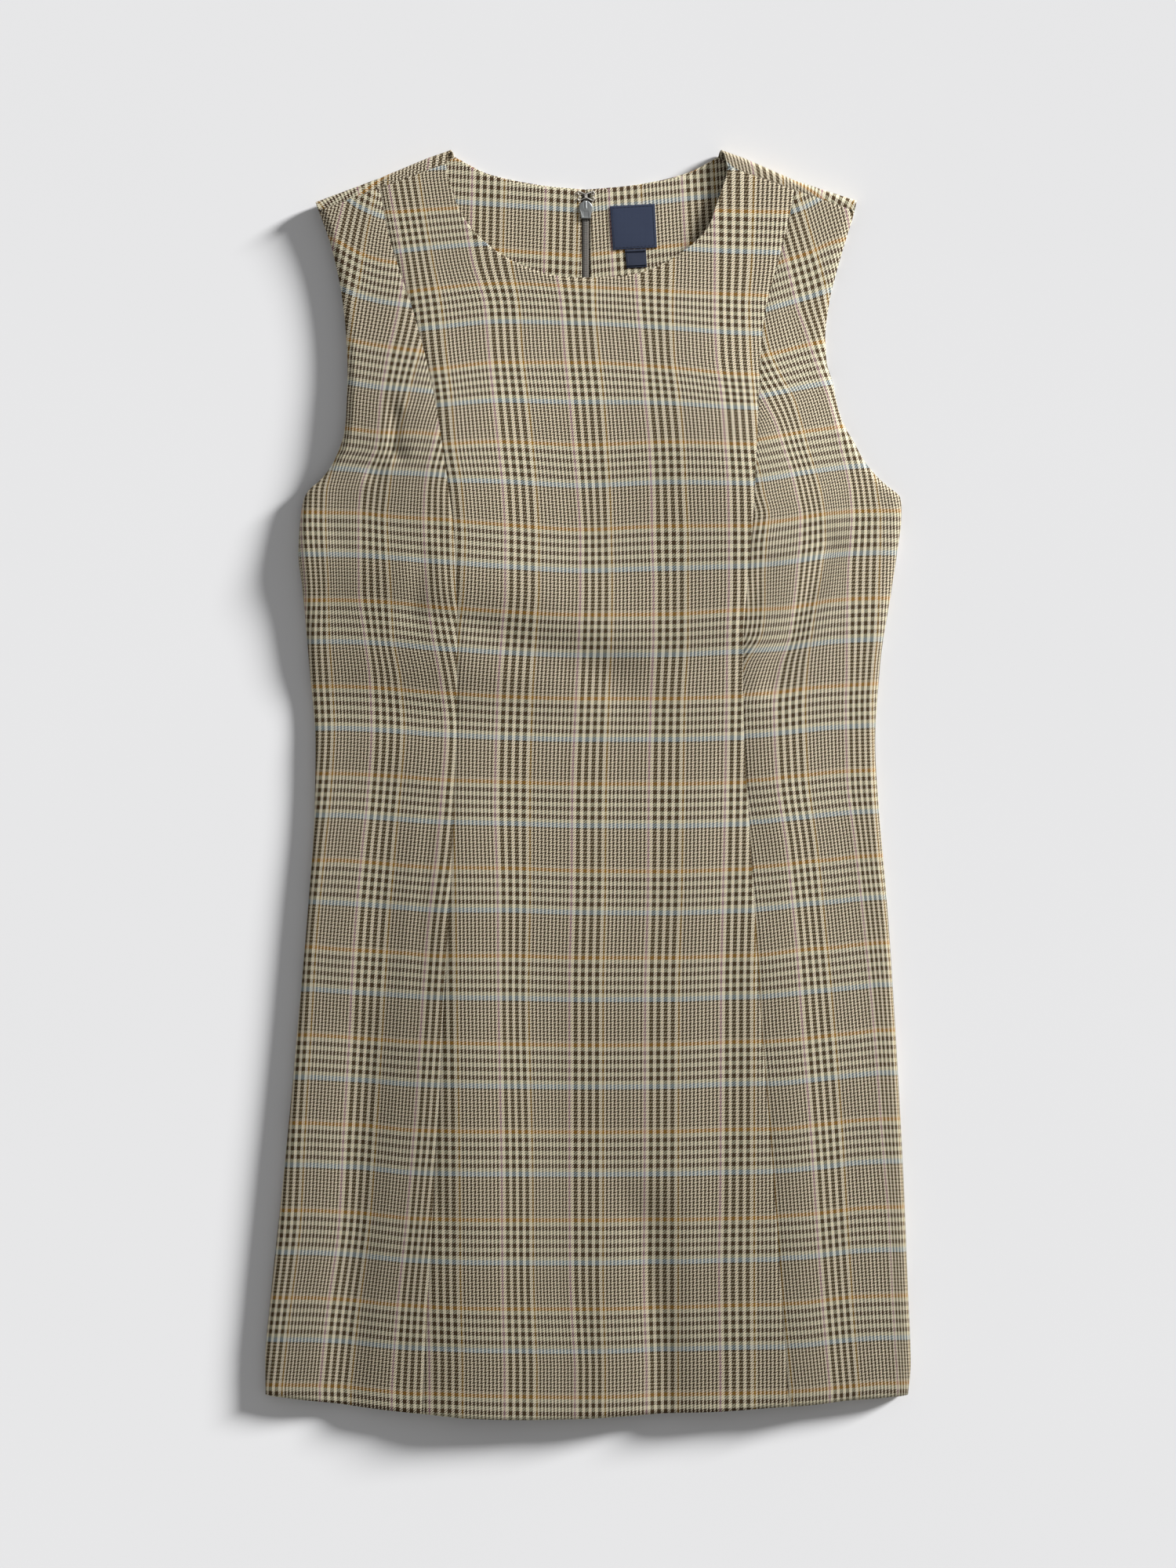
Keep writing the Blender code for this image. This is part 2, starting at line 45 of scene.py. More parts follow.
dress = {
    "length": 923.0,
    "seamGap": 0.08,          # between panels where they are sewn
    "edgeRoll": 0.15,         # how far in the rounding of an edge reaches
    "sewnShare": 0.15,        # how deep in the cloth the faces meet at a sewn edge
    "cloth": 1.2,             # thickness of one panel
    "hemCloth": 2.3,          # with the hem turned up inside
    "hemDepth": 48.0,
    "edgeCloth": 1.7,         # neckline and armholes, turned in
    "edgeDepth": 14.0,
    "sideRoll": 6.5,          # how far in from a side seam the roll ends
    "sideSeamHeight": 5.0,
    "armholeHeight": 8.0,
    "armholeTop": 45.0,       # where the rows of the sides begin
    "armholeEnd": 251.0,
    "underarm": 246.0,
    "underarmTurn": 22.0,
    "backTurnDelay": 12.0,
    "shoulderFold": 4.0,
    "centreBack": -1.6,
    "centreBackTop": 28.0,
    "warpRepeat": 53.7,       # width of one repeat of the check
    "weftRepeat": 63.8,       # and its height
}
edgeSteps = [0.02, 0.06, 0.15]  # how far from an edge its rounding has points
fromEdge = [0] + edgeSteps
toEdge = fromEdge[::-1]
frontStops = [0, 0.02, 0.06, 0.13, 0.22, 0.32, 0.43, 0.54, 0.65, 0.76, 0.88]  # shares of the roll
backStops = [0, 0.02, 0.06, 0.13, 0.3, 0.5, 0.75]

# The outline. Many rows of the sides and hem are measurements that another program listed.
leftEdge = [  # down, x
    (38, -198.4), (46, -195.5), (56, -191.7), (71, -186.8), (89, -182.4), (108, -179.0), (131, -176.4),
    (160, -175.0), (188, -175.8), (205, -177.3), (225, -184.1), (234, -189.5), (242, -196.6), (247, -202.6),
    (252, -205.9), (262, -208.6), (279, -210.3), (294, -210.9), (319, -208.0), (376, -202.9), (433, -198.4),
    (484, -199.2), (547, -203.5), (633, -210.9), (747, -221.7), (832, -230.8), (883, -235.0), (906, -234.8),
]
rightEdge = [
    (37, 195.5), (45, 193.9), (64, 188.2), (76, 184.6), (90, 180.7), (111, 175.6), (137, 172.7),
    (154, 173.6), (171, 178.4), (188, 181.8), (202, 187.0), (211, 192.5), (225, 200.1), (232, 205.1),
    (239, 211.5), (245, 218.1), (249, 223.6), (252, 226.9), (260, 228.2), (271, 228.0), (285, 226.3),
    (319, 221.2), (376, 212.6), (433, 209.2), (479, 211.8), (547, 217.7), (633, 223.4), (747, 229.7),
    (832, 233.1), (883, 235.0), (906, 233.0),
]
leftPrincess = [
    (28.5, -151.4), (52, -147.3), (75, -141.2), (97, -134.0), (117, -127.3), (141, -120.6), (161, -115.6),
    (188, -110.0), (221, -104.8), (250, -100.6), (280, -97.2), (314, -95.4), (350, -94.9), (400, -95.0),
    (460, -96.6), (556, -100.9), (620, -104.6), (700, -108.6), (767, -112.2), (840, -116.6), (919, -120.9),
]
rightPrincess = [
    (29.6, 149.9), (48, 146.6), (68, 141.9), (87, 136.6), (105, 131.6), (126, 127.6), (158, 125.0),
    (205, 122.9), (251, 120.6), (291, 118.1), (322, 115.2), (356, 112.9), (399, 112.5), (450, 114.6),
    (516, 118.9), (598, 123.3), (650, 126.9), (704, 131.2), (812, 139.1), (912, 145.7),
]
hem = [  # x, down
    (-235, 906), (-211, 909), (-188, 911.5), (-165, 914.5), (-142, 917), (-120, 919), (-85, 922),
    (-46, 923), (-6, 922.5), (28, 920.5), (63, 918.5), (97, 917), (131, 914.5), (165, 912), (188, 909.5),
    (211, 908), (235, 906),
]
shoulders = {  # outer end to neck: fold x, fold down, seam x, seam down
    "left": [(-198.4, 38, -195.8, 45), (-151.6, 20.5, -151.6, 28.5), (-102.4, 0, -103.2, 10.8)],
    "right": [(195.5, 37, 193.8, 45), (149.9, 22, 149.9, 29.6), (99.7, 0, 101.5, 12.5)],
}
frontNeck = [
    (-103.2, 10.95), (-102.8, 15), (-100.9, 24), (-98.6, 31), (-92.3, 47), (-82.6, 60), (-66.7, 74),
    (-51.3, 83), (-31.9, 90), (-16, 93), (0, 93.5), (28.5, 92), (53, 84), (69.5, 74), (79.2, 66),
    (89.5, 52), (92.3, 43), (97.5, 28), (100.9, 17), (101.5, 12.65),
]
backNeck = {
    "left": [(-96.9, 4.6), (-85.5, 10.8), (-74.1, 16.2), (-62.7, 19.4), (-51.3, 21.9), (-28.5, 25.7)],
    "right": [(95.2, 4.4), (85.5, 9.6), (74.1, 15.4), (62.7, 18.8), (51.3, 21.6), (28.5, 25.4)],
}
facingEnds = {"left": [(-112, 12), (-103, 7.6)], "right": [(110, 12), (101, 7.6)]}

loft = [  # down, height beside the roll, extra in the middle
    (0, 11.2, 0.5), (30, 11.0, 0.8), (60, 10.3, 1.2), (90, 9.7, 1.7), (130, 9.4, 2.4), (200, 9.8, 4.2),
    (260, 9.5, 5.8), (340, 9.2, 7.4), (420, 8.2, 6.6), (560, 8.4, 7.5), (760, 8.8, 8.2), (923, 8.4, 7.4),
]
swells = [  # x, down, half width, half length, height
    (-104, 238, 58, 84, 7.0),
    (112, 232, 58, 84, 6.6),
    (-98, 640, 44, 260, 3.0),
    (104, 600, 44, 240, 3.0),
]
folds = [  # the main ones: places along it, half width, height (a trough is negative)
    ([(-136, 196), (-138, 222)], 6, -2.2),
    ([(-138, 222), (-156, 236)], 6, -1.8),
    ([(-70, 352), (18, 384)], 20, -2.0),
    ([(18, 384), (100, 366)], 18, -1.6),
    ([(177, 290), (134, 388)], 9, -1.8),
    ([(131, 303), (116, 343)], 8, -1.2),
    ([(-118, 298), (-128, 340)], 9, -1.4),
    ([(46, 780), (58, 923)], 18, -2.6),
    ([(-168, 640), (-176, 923)], 16, -1.6),
    ([(186, 700), (190, 923)], 14, -0.8),
]
creases = [  # the finer ones, which fade out at both ends
    ([(-142, 184), (-141, 208), (-143, 222), (-152, 235), (-166, 241)], 3.8, -0.9),
    ([(-134, 180), (-134.5, 206), (-137.5, 221), (-147, 234), (-160, 243)], 4.4, 1.5),
    ([(-112, 262), (-104, 292), (-98, 318)], 4.0, -0.6),
    ([(-142, 336), (-104, 340), (-62, 349)], 8.0, -0.7),
    ([(176, 292), (158, 330), (139, 367), (132, 393)], 4.5, -0.8),
    ([(168, 286), (150, 322), (130, 352)], 5.0, 0.5),
    ([(128, 300), (122, 322), (115, 343)], 3.5, -0.6),
    ([(205, 262), (190, 284), (178, 300)], 4.5, -0.5),
    ([(-198, 262), (-182, 280), (-170, 300)], 4.5, -0.4),
    ([(-112, 470), (-118, 540), (-121, 640)], 9.0, -0.8),
    ([(112, 455), (126, 505), (130, 560)], 10.0, -0.8),
    ([(23, 747), (40, 800), (52, 850), (56, 923)], 9.0, -0.7),
    ([(-112, 752), (-104, 775), (-98, 802)], 7.0, -0.6),
    ([(-128, 800), (-134, 860), (-137, 923)], 7.0, -0.5),
    ([(-84, 480), (-84, 640), (-82, 800), (-80, 1000)], 22, 1.8),
    ([(-22, 600), (-14, 740), (-8, 860), (-6, 1000)], 24, -1.8),
    ([(104, 400), (104, 520), (99, 700), (92, 800), (84, 900)], 18, -1.9),
    ([(36, 745), (44, 850), (50, 1010)], 26, -2.6),
    ([(140, 420), (146, 600), (153, 780), (156, 1000)], 18, 1.4),
    ([(164, 620), (170, 800), (174, 1010)], 36, 2.4),
    ([(-146, 470), (-152, 620), (-166, 780), (-184, 1010)], 20, -2.5),
    ([(-300, 292), (-190, 298), (-100, 314), (-40, 326), (20, 350)], 28, 2.3),
    ([(-300, 400), (-150, 402), (-100, 408), (-30, 414), (60, 410)], 24, -2.2),
    ([(-300, 452), (-30, 458), (110, 452)], 48, -1.6),
    ([(-150, 850), (-110, 1010)], 45, -1.4),
]
seamGroove = [(0.35, 6.0), (0.25, 2.0)]  # depth, half width
seamPucker = (0.05, 4.5)
creaseFade = (0.08, 0.92, 0.7)  # where a crease starts and ends on its half wave, and its fullness
ripple = 0.12                   # height of the faint unevenness all over the front
hemStitch = {"down": 872.7, "wander": 1.2, "pitch": 7.5, "depth": 0.16, "dimple": 0.14, "halfWidth": 1.5}


def readTable(table, at, column=1):
    # a column of a table at any place between its rows, smooth and with no overshoot
    keys = np.array([row[0] for row in table], float)
    values = np.array([row[column] for row in table], float)
    steps = np.diff(keys)
    slopes = np.diff(values) / steps
    sameWay = slopes[:-1] * slopes[1:] > 0
    before = 2 * steps[1:] + steps[:-1]
    after = steps[1:] + 2 * steps[:-1]
    pull = before / np.where(sameWay, slopes[:-1], 1) + after / np.where(sameWay, slopes[1:], 1)
    leans = np.concatenate([slopes[:1], np.where(sameWay, (before + after) / pull, 0), slopes[-1:]])
    at = np.clip(at, keys[0], keys[-1])
    row = np.clip(np.searchsorted(keys, at) - 1, 0, len(steps) - 1)
    part = (at - keys[row]) / steps[row]
    step = part * part * (3 - 2 * part)
    bend = (part**3 - 2 * part**2 + part) * leans[row] + (part**3 - part**2) * leans[row + 1]
    return values[row] + step * (values[row + 1] - values[row]) + steps[row] * bend


def between(first, last, share):
    return first + (last - first) * share


def ramp(value, start, length):
    share = np.clip((value - start) / length, 0, 1)
    return share * share * (3 - 2 * share)


def bead(off, halfWidth, rise):
    # the height of a rounded ridge, by the distance from its middle
    return rise * np.exp(-((off / halfWidth) ** 2))


def inward(side):
    return 1 if side == "left" else -1


def edgeX(side, down):
    return readTable(leftEdge if side == "left" else rightEdge, down)


def princessX(side, down):
    return readTable(leftPrincess if side == "left" else rightPrincess, down)


def hemDown(x):
    return readTable(hem, x)


def nearPath(x, down, path):
    # distance from a path of plan places, and the share of the path at its nearest place
    lengths = [math.dist(first, last) for first, last in zip(path, path[1:])]
    nearest = np.full(np.shape(x), 1e9)
    along = np.zeros(np.shape(x))
    done = 0.0
    for (x1, down1), (x2, down2), length in zip(path, path[1:], lengths):
        share = np.clip(((x - x1) * (x2 - x1) + (down - down1) * (down2 - down1)) / length**2, 0, 1)
        off = np.hypot(x - between(x1, x2, share), down - between(down1, down2, share))
        closer = off < nearest
        nearest = np.where(closer, off, nearest)
        along = np.where(closer, (done + share * length) / sum(lengths), along)
        done += length
    return nearest, along


def frontHeight(x, down):
    left, right = edgeX("left", down), edgeX("right", down)
    across = (2 * x - left - right) / (right - left)
    height = readTable(loft, down) + readTable(loft, down, 2) * (1 - across**2)
    for swellX, swellDown, halfWidth, halfLength, rise in swells:
        off = ((x - swellX) / halfWidth) ** 2 + ((down - swellDown) / halfLength) ** 2
        height += rise * np.exp(-off)
    for path, halfWidth, rise in folds:
        height += bead(nearPath(x, down, path)[0], halfWidth, rise)
    for path, halfWidth, rise in creases:
        off, along = nearPath(x, down, path)
        start, end, fullness = creaseFade
        height += bead(off, halfWidth, rise) * np.sin(np.pi * between(start, end, along)) ** fullness
    for side in ("left", "right"):
        off = x - princessX(side, down)
        for depth, halfWidth in seamGroove:
            height -= bead(off, halfWidth, depth)
        # the seam is a little puckered along its length
        wave = np.sin(down / 2.9 + 2 * np.sin(down / 17)) + 0.6 * np.sin(down / 5.3 + 1)
        height += bead(off, seamPucker[1], seamPucker[0] * wave)
    height += ripple * np.sin(x / 21 + 1.5 * np.sin(down / 60)) * np.sin(down / 33 + x / 90)
    return height


def hemStitching(x, down):
    # the blind stitches of the hem draw the cloth in along a line
    line = hemStitch["down"] + hemStitch["wander"] * np.sin(x / 60)
    dimple = 0.5 + 0.5 * np.cos(x / hemStitch["pitch"] * 2 * np.pi)
    depth = hemStitch["depth"] + hemStitch["dimple"] * dimple
    return bead(down - line, hemStitch["halfWidth"], -depth)


def toWorld(x, down, height):
    return np.stack(np.broadcast_arrays(x, dress["length"] / 2 - down, height), -1) * mm


# Where the coloured lines of the check lie on the front panels, in plan millimetres. This is not
# a chart made by hand: other programs printed most of these positions, and measured many of
# them. The rest were read one by one or continue a line.
ochreAt, lilacAt, orangeAt = 1.5 / 118, 67.5 / 118, 3 / 144  # shares of a repeat
charts = {
    "front_centre": {
        "firstWarp": "ochre",
        "warps": [  # down, then x of each ochre and lilac line in turn
            (20, -123, -94, -62.5, -32, 1, 31, 62, 91, 120.5),
            (80, -113, -84.5, -56, -25, 5, 34, 62.5, 92, 119),
            (114, -106.5, -75, -50, -19.5, 5.5, 36, 61.5, 92, 117),
            (148, -103, -72, -47.5, -17, 8, 39, 62.5, 93, 118),
            (182, -99, -68.5, -43.5, -13.5, 11.5, 41.5, 66.5, 97, 120.5),
            (216, -96, -65, -40, -10.5, 14, 44.5, 69.5, 99.5, 123),
            (251, -91, -61.5, -37, -7.5, 16, 46, 71, 101.5, 126),
            (285, -89, -60, -35.5, -5.5, 17, 46.5, 72.5, 102, 127),
            (319, -90, -60, -35.5, -5.5, 17.5, 47.5, 72.5, 102, 127),
            (353, -93.5, -62.5, -37.5, -6.5, 17, 47.5, 72.5, 101, 126.5),
            (405, -97, -66, -40.5, -9, 15, 45.5, 70, 100.5, 124.5),
            (473, -97.5, -67.5, -42, -11.5, 13, 44, 69, 99.5, 123),
            (541, -96, -65.5, -42, -12, 12.5, 43.5, 68, 98, 122),
            (610, -95, -65, -43, -13.5, 11, 41.5, 66, 96.5, 120.5),
            (746, -93, -62.5, -40, -13.5, 11, 41, 65.5, 96, 120.5),
            (815, -92.5, -62, -39.5, -13, 11, 40.5, 65.5, 95, 120.5),
            (884, -91, -60.5, -37, -9.5, 12.5, 42.5, 65.5, 96, 121),
        ],
        "stations": (-138, -110.5, -62.5, -3, 57, 108.5, 145),
        "wefts": [  # number of the orange line, then its down at each station
            (0, 46, 44, 42, 42, 43, 45.5, 46),
            (1, 105, 101.5, 98, 100.5, 103.5, 106, 107),
            (2, 163, 160.5, 155.5, 155.5, 159, 164, 165),
            (3, 217, 215.5, 213.5, 215.5, 213.5, 215, 216),
            (4, 268, 270, 273.5, 277, 274.5, 274.5, 275),
            (5, 331, 333, 336.5, 339, 338.5, 335.5, 334),
            (6, 394, 395, 398, 399.5, 399.5, 398, 397),
            (7, 458, 458.5, 460, 461.5, 461.5, 460.5, 459.5),
            (8, 521.5, 522, 522.5, 524.5, 525, 523.5, 522.5),
            (9, 586, 586, 586, 587.5, 587.5, 586, 585.5),
            (10, 649, 649, 650, 651, 650.5, 648.5, 648),
            (11, 712.5, 713, 713.5, 714, 713.5, 712, 711.5),
            (12, 776.5, 777, 777.5, 778, 777.5, 776.5, 775.5),
            (13, 840.5, 841, 842, 842.5, 841.5, 839.5, 839),
            (14, 903.5, 904, 905.5, 906.5, 905, 903.5, 903),
        ],
    },
    "front_side_left": {
        "firstWarp": "ochre",
        "warps": [
            (34, -155, -127.5, -104.5, -76),
            (63, -161, -132, -109, -80),
            (97, -166.5, -135, -113, -84.5),
            (114, -169.5, -137.5, -115, -87),
            (131, -172, -141, -118, -91),
            (148, -174.5, -145, -122, -95),
            (165, -176, -148, -126.5, -99),
            (182, -178, -150.5, -130.5, -103),
            (200, -179, -152, -135, -108.5),
            (217, -180.5, -154, -138, -112.5),
            (225, -184, -157, -140, -114.5),
            (234, -186.5, -161, -142, -116.5),
            (251, -190, -165.5, -144, -118.5),
            (268, -190.5, -166.5, -145.5, -119),
            (319, -188.5, -166.5, -143, -117),
            (353, -188, -162.5, -141.5, -113),
            (387, -186, -158.5, -136, -107),
            (422, -184.5, -157.5, -133.5, -103.5),
            (473, -187.5, -160.5, -137, -106.5),
            (507, -191, -164, -140, -109.5),
            (576, -197.5, -170, -145.5, -117),
            (644, -201.5, -173.5, -149.5, -121.5),
            (712, -205.5, -177.5, -153.5, -126),
            (781, -209, -181, -158.5, -132),
            (849, -217, -190, -167, -139),
            (900, -222.5, -195, -172.5, -142.5),
        ],
        "stations": (-199.5, -182.5, -165.5, -148, -131, -114, -96),
        "wefts": [
            (1, 60.5, 67, 76, 81.5, 83.5, 84.5, 85),
            (2, 133, 136.5, 140.5, 143.5, 146, 148, 149.5),
            (3, 200.5, 202.5, 204.5, 206.5, 206.5, 207.5, 208.5),
            (4, 264, 264.5, 265, 267, 268.5, 269.5, 270.5),
            (5, 328, 328, 328.5, 329.5, 331, 333, 334.5),
            (6, 390.5, 390.5, 391, 392, 393.5, 395, 396),
            (7, 454, 454, 454.5, 455.5, 456.5, 458, 459),
            (8, 517, 517, 518, 519.5, 521, 522, 522.5),
            (9, 580, 581.5, 582.5, 583.5, 584.5, 586, 586.5),
            (10, 644, 645, 646.5, 647.5, 648.5, 649, 649.5),
            (11, 708, 709, 709.5, 711, 712.5, 713, 713.5),
            (12, 771.5, 772.5, 773.5, 775, 776.5, 777, 777.5),
            (13, 835, 836, 837.5, 839, 840, 840.5, 841),
            (14, 898.5, 899.5, 901, 902.5, 904, 904.5, 905),
        ],
    },
    "front_side_right": {
        "firstWarp": "lilac",
        "warps": [
            (34, 74, 102.5, 130, 154),
            (63, 82.5, 112, 139, 162.5),
            (80, 88.5, 117, 143.5, 167.5),
            (97, 93, 121, 147.5, 172),
            (114, 97.5, 125.5, 151.5, 175.5),
            (131, 102.5, 128.5, 157.5, 180),
            (148, 111, 132.5, 163, 185),
            (165, 118.5, 140, 169, 191.5),
            (182, 127, 149.5, 175, 198),
            (200, 136, 155, 180, 202),
            (217, 141.5, 159.5, 183.5, 205),
            (234, 147, 165, 187.5, 208),
            (251, 151, 169.5, 190.5, 210.5),
            (268, 154, 172, 191.5, 212.5),
            (285, 153.5, 172.5, 190.5, 212.5),
            (302, 152, 170.5, 189, 212),
            (353, 146.5, 162.5, 188, 210.5),
            (376, 139.5, 159.5, 188, 208.5),
            (405, 135, 158, 187.5, 207),
            (456, 137, 160, 188.5, 208),
            (507, 144, 166.5, 194.5, 211.5),
            (576, 151, 173.5, 202, 218.5),
            (644, 156, 179.5, 208.5, 223),
            (712, 161.5, 184.5, 213.5, 226.5),
            (781, 166, 188.5, 219, 230),
            (849, 171, 193, 222.5, 233),
            (900, 175.5, 197, 225.5, 235.5),
        ],
        "stations": (108, 125.5, 142.5, 159.5, 176.5, 194, 211),
        "wefts": [
            (1, 92, 87, 81.5, 76, 68.5, 64, 61),
            (2, 154, 151, 147, 142.5, 139, 136, 134),
            (3, 213, 211.5, 208.5, 205.5, 203, 200.5, 199),
            (4, 275, 273, 270.5, 267.5, 265, 263.5, 263),
            (5, 336, 335, 334, 331.5, 328.5, 327, 326.5),
            (6, 397, 396, 394.5, 392, 390.5, 389.5, 388.5),
            (7, 459.5, 458.5, 456.5, 455, 453, 452, 451.5),
            (8, 522.5, 521.5, 520, 518, 516.5, 514.5, 513.5),
            (9, 586, 585.5, 583.5, 581.5, 580.5, 578.5, 577),
            (10, 649, 648.5, 647.5, 646, 644, 642.5, 640.5),
            (11, 712.5, 712, 711.5, 709.5, 708, 706, 705),
            (12, 777, 776, 774.5, 773.5, 772, 770, 769),
            (13, 840, 839, 838.5, 837.5, 835.5, 834, 833.5),
            (14, 903.5, 903, 902.5, 901.5, 900, 898.5, 897),
        ],
    },
}
# Plain grids: a place on a lilac and an orange line, how each leans, in mm over 100 mm.
plainCharts = {
    "back_left": {"lilac": (-115.1, -4), "lean": 0, "orange": (-152.9, 11.2), "slope": 0},
    "back_right": {"lilac": (117.5, -2), "lean": 0, "orange": (156.7, 14.5), "slope": 0},
    "back_neck_facing_left": {"lilac": (-31.4, 52), "lean": -2.0, "orange": (-34, 74.6), "slope": 7},
    "back_neck_facing_right": {"lilac": (16.2, 50), "lean": 5.0, "orange": (40, 71.6), "slope": -11},
}
fineThread = {"label": 0.26, "size_tab": 0.26}  # width of one thread


def betweenLines(places, lines, numbers):
    # counts repeats from charted lines, and goes on beyond them at the nearest spacing
    lines, numbers = np.array(lines), np.array(numbers, float)
    first = np.clip((places > lines).sum(0) - 1, 0, len(lines) - 2)[None]
    low, high = np.take_along_axis(lines, first, 0)[0], np.take_along_axis(lines, first + 1, 0)[0]
    start, end = numbers[first[0]], numbers[first[0] + 1]
    return start + (places - low) / (high - low) * (end - start)


def weaveOf(name, flat):
    # places in the check for flat places on the cloth, counted in whole repeats
    x, down = flat[:, 0], flat[:, 1]
    if name in fineThread:
        return flat / fineThread[name]
    if name in plainCharts:
        chart = plainCharts[name]
        lilacX, lilacDown = chart["lilac"]
        orangeX, orangeDown = chart["orange"]
        u = (x - lilacX - chart["lean"] / 100 * (down - lilacDown)) / dress["warpRepeat"] + lilacAt
        v = (down - orangeDown - chart["slope"] / 100 * (x - orangeX)) / dress["weftRepeat"] + orangeAt
        return np.column_stack([u, v])
    chart = charts[name]
    warps, wefts = chart["warps"], chart["wefts"]
    isOchre = chart["firstWarp"] == "ochre"
    lines, numbers, repeat = [], [], 0
    for column in range(1, len(warps[0])):
        lines.append(readTable(warps, down, column))
        numbers.append(repeat + (ochreAt if isOchre else lilacAt))
        repeat += 0 if isOchre else 1
        isOchre = not isOchre
    u = betweenLines(x, lines, numbers)
    rows = [readTable(list(zip(chart["stations"], row[1:])), x) for row in wefts]
    v = betweenLines(down, rows, [row[0] + orangeAt for row in wefts])
    return np.column_stack([u, v])


# Grids of cloth, and the shells made from them.

def rowParts():
    # shares of a panel's length at which it has rows, closer over the bust and hem stitching
    span = leftEdge[-1][0] - dress["armholeTop"]
    main = np.concatenate([
        np.arange(2.6, 330, 2.3), np.arange(330, span - 64, 3.3), np.arange(span - 64, span - 18, 0.9),
        np.arange(span - 18, span - 2, 2.5),
    ])
    steps = np.array(edgeSteps)
    return np.concatenate([[0], steps, main, span - steps[::-1], [span]]) / span


def spread(path, count):
    # points evenly spread over a path
    path = np.array(path, float)
    lengths = np.concatenate([[0], np.cumsum(np.hypot(*np.diff(path, axis=0).T))])
    at = np.linspace(0, lengths[-1], count)
    columns = [readTable(list(zip(lengths, column)), at) for column in path.T]
    return np.column_stack(columns)


def withEdges(count, firstEdge=True):
    # offsets in mm from the first edge, shares in between, offsets from the last edge
    return np.array(fromEdge if firstEdge else [0]), np.linspace(0, 1, count)[1:-1], np.array(toEdge)


def panelRows(tops, firstEdge, lastEdge, steps, parts, way=1):
    # rows of plan places from an upper edge to the hem, between two edges
    firsts, shares, lasts = way * steps[0], steps[1], way * steps[2]
    inner = slice(len(firsts), len(firsts) + len(shares))

    def across(downs, shares):
        low, high = firstEdge(downs), lastEdge(downs)
        middle = between((low + firsts[-1])[inner], (high - lasts[0])[inner], shares)
        return np.concatenate([low[:len(firsts)] + firsts, middle, high[-len(lasts):] - lasts])

    starts = firstEdge(tops[inner, 1]) + firsts[-1]
    ends = lastEdge(tops[inner, 1]) - lasts[0]
    topShares = (tops[inner, 0] - starts) / (ends - starts)
    footX = across(np.full(len(tops), dress["length"] - 5), shares)
    feet = hemDown(footX)
    rows = []
    for part in parts:
        downs = between(tops[:, 1], feet, part)
        rows.append(np.column_stack([across(downs, between(topShares, shares, part)), downs]))
    return rows


def rolledRows(side, rows, stops, tip, turned, edgeDowns):
    # adds the columns that roll out to a side edge, with each column's share of the quarter turn
    stops = np.array(stops)
    plans, turns = [], []
    for number, row in enumerate(rows):
        edge = np.array(tip if number == 0 else (edgeX(side, edgeDowns[number]), edgeDowns[number]))
        bends = between(stops, 1 - np.cos(np.pi / 2 * stops), turned[number])
        plans.append(np.vstack([between(edge, row[0], bend) for bend in bends] + [row]))
        turns.append(np.concatenate([np.sin(np.pi / 2 * stops), np.ones(len(row))]))
    return np.array(plans), np.array(turns)


def unrolled(plans, heights, count):
    # flat places: the rolled columns laid out at their true distance from the roll's end
    flat = plans.copy()
    solid = np.dstack([plans, heights])
    for column in range(count - 1, -1, -1):
        step = np.linalg.norm(solid[:, column] - solid[:, column + 1], axis=1)
        way = plans[:, column] - plans[:, column + 1]
        way[:, 0] = np.sign(way[:, 0]) * np.maximum(abs(way[:, 0]), 1e-3)
        way /= np.linalg.norm(way, axis=1)[:, None]
        flat[:, column] = flat[:, column + 1] + way * step[:, None]
    return flat


def quads(index):
    # the faces between the points of a grid of point numbers
    corners = [index[:-1, :-1], index[1:, :-1], index[1:, 1:], index[:-1, 1:]]
    return np.stack(corners, -1).reshape(-1, 4)


def rimDistance(flats, faces):
    # which points are on an edge of the cloth, and how far each point is from the nearest one
    sides = [faces[:, [corner, (corner + 1) % 4]] for corner in range(4)]
    pairs, uses = np.unique(np.sort(np.vstack(sides), axis=1), axis=0, return_counts=True)
    rim = pairs[uses == 1]
    isRim = np.zeros(len(flats), bool)
    isRim[rim.ravel()] = True
    near = np.full(len(flats), 5.0)
    for a, b in rim:
        close = np.flatnonzero(abs(flats - flats[a]).max(1) < 8)
        run = flats[b] - flats[a]
        share = np.clip((flats[close] - flats[a]) @ run / max(run @ run, 1e-12), 0, 1)
        off = np.linalg.norm(flats[close] - flats[a] - share[:, None] * run, axis=1)
        near[close] = np.minimum(near[close], off)
    near[isRim] = 0
    return isRim, near


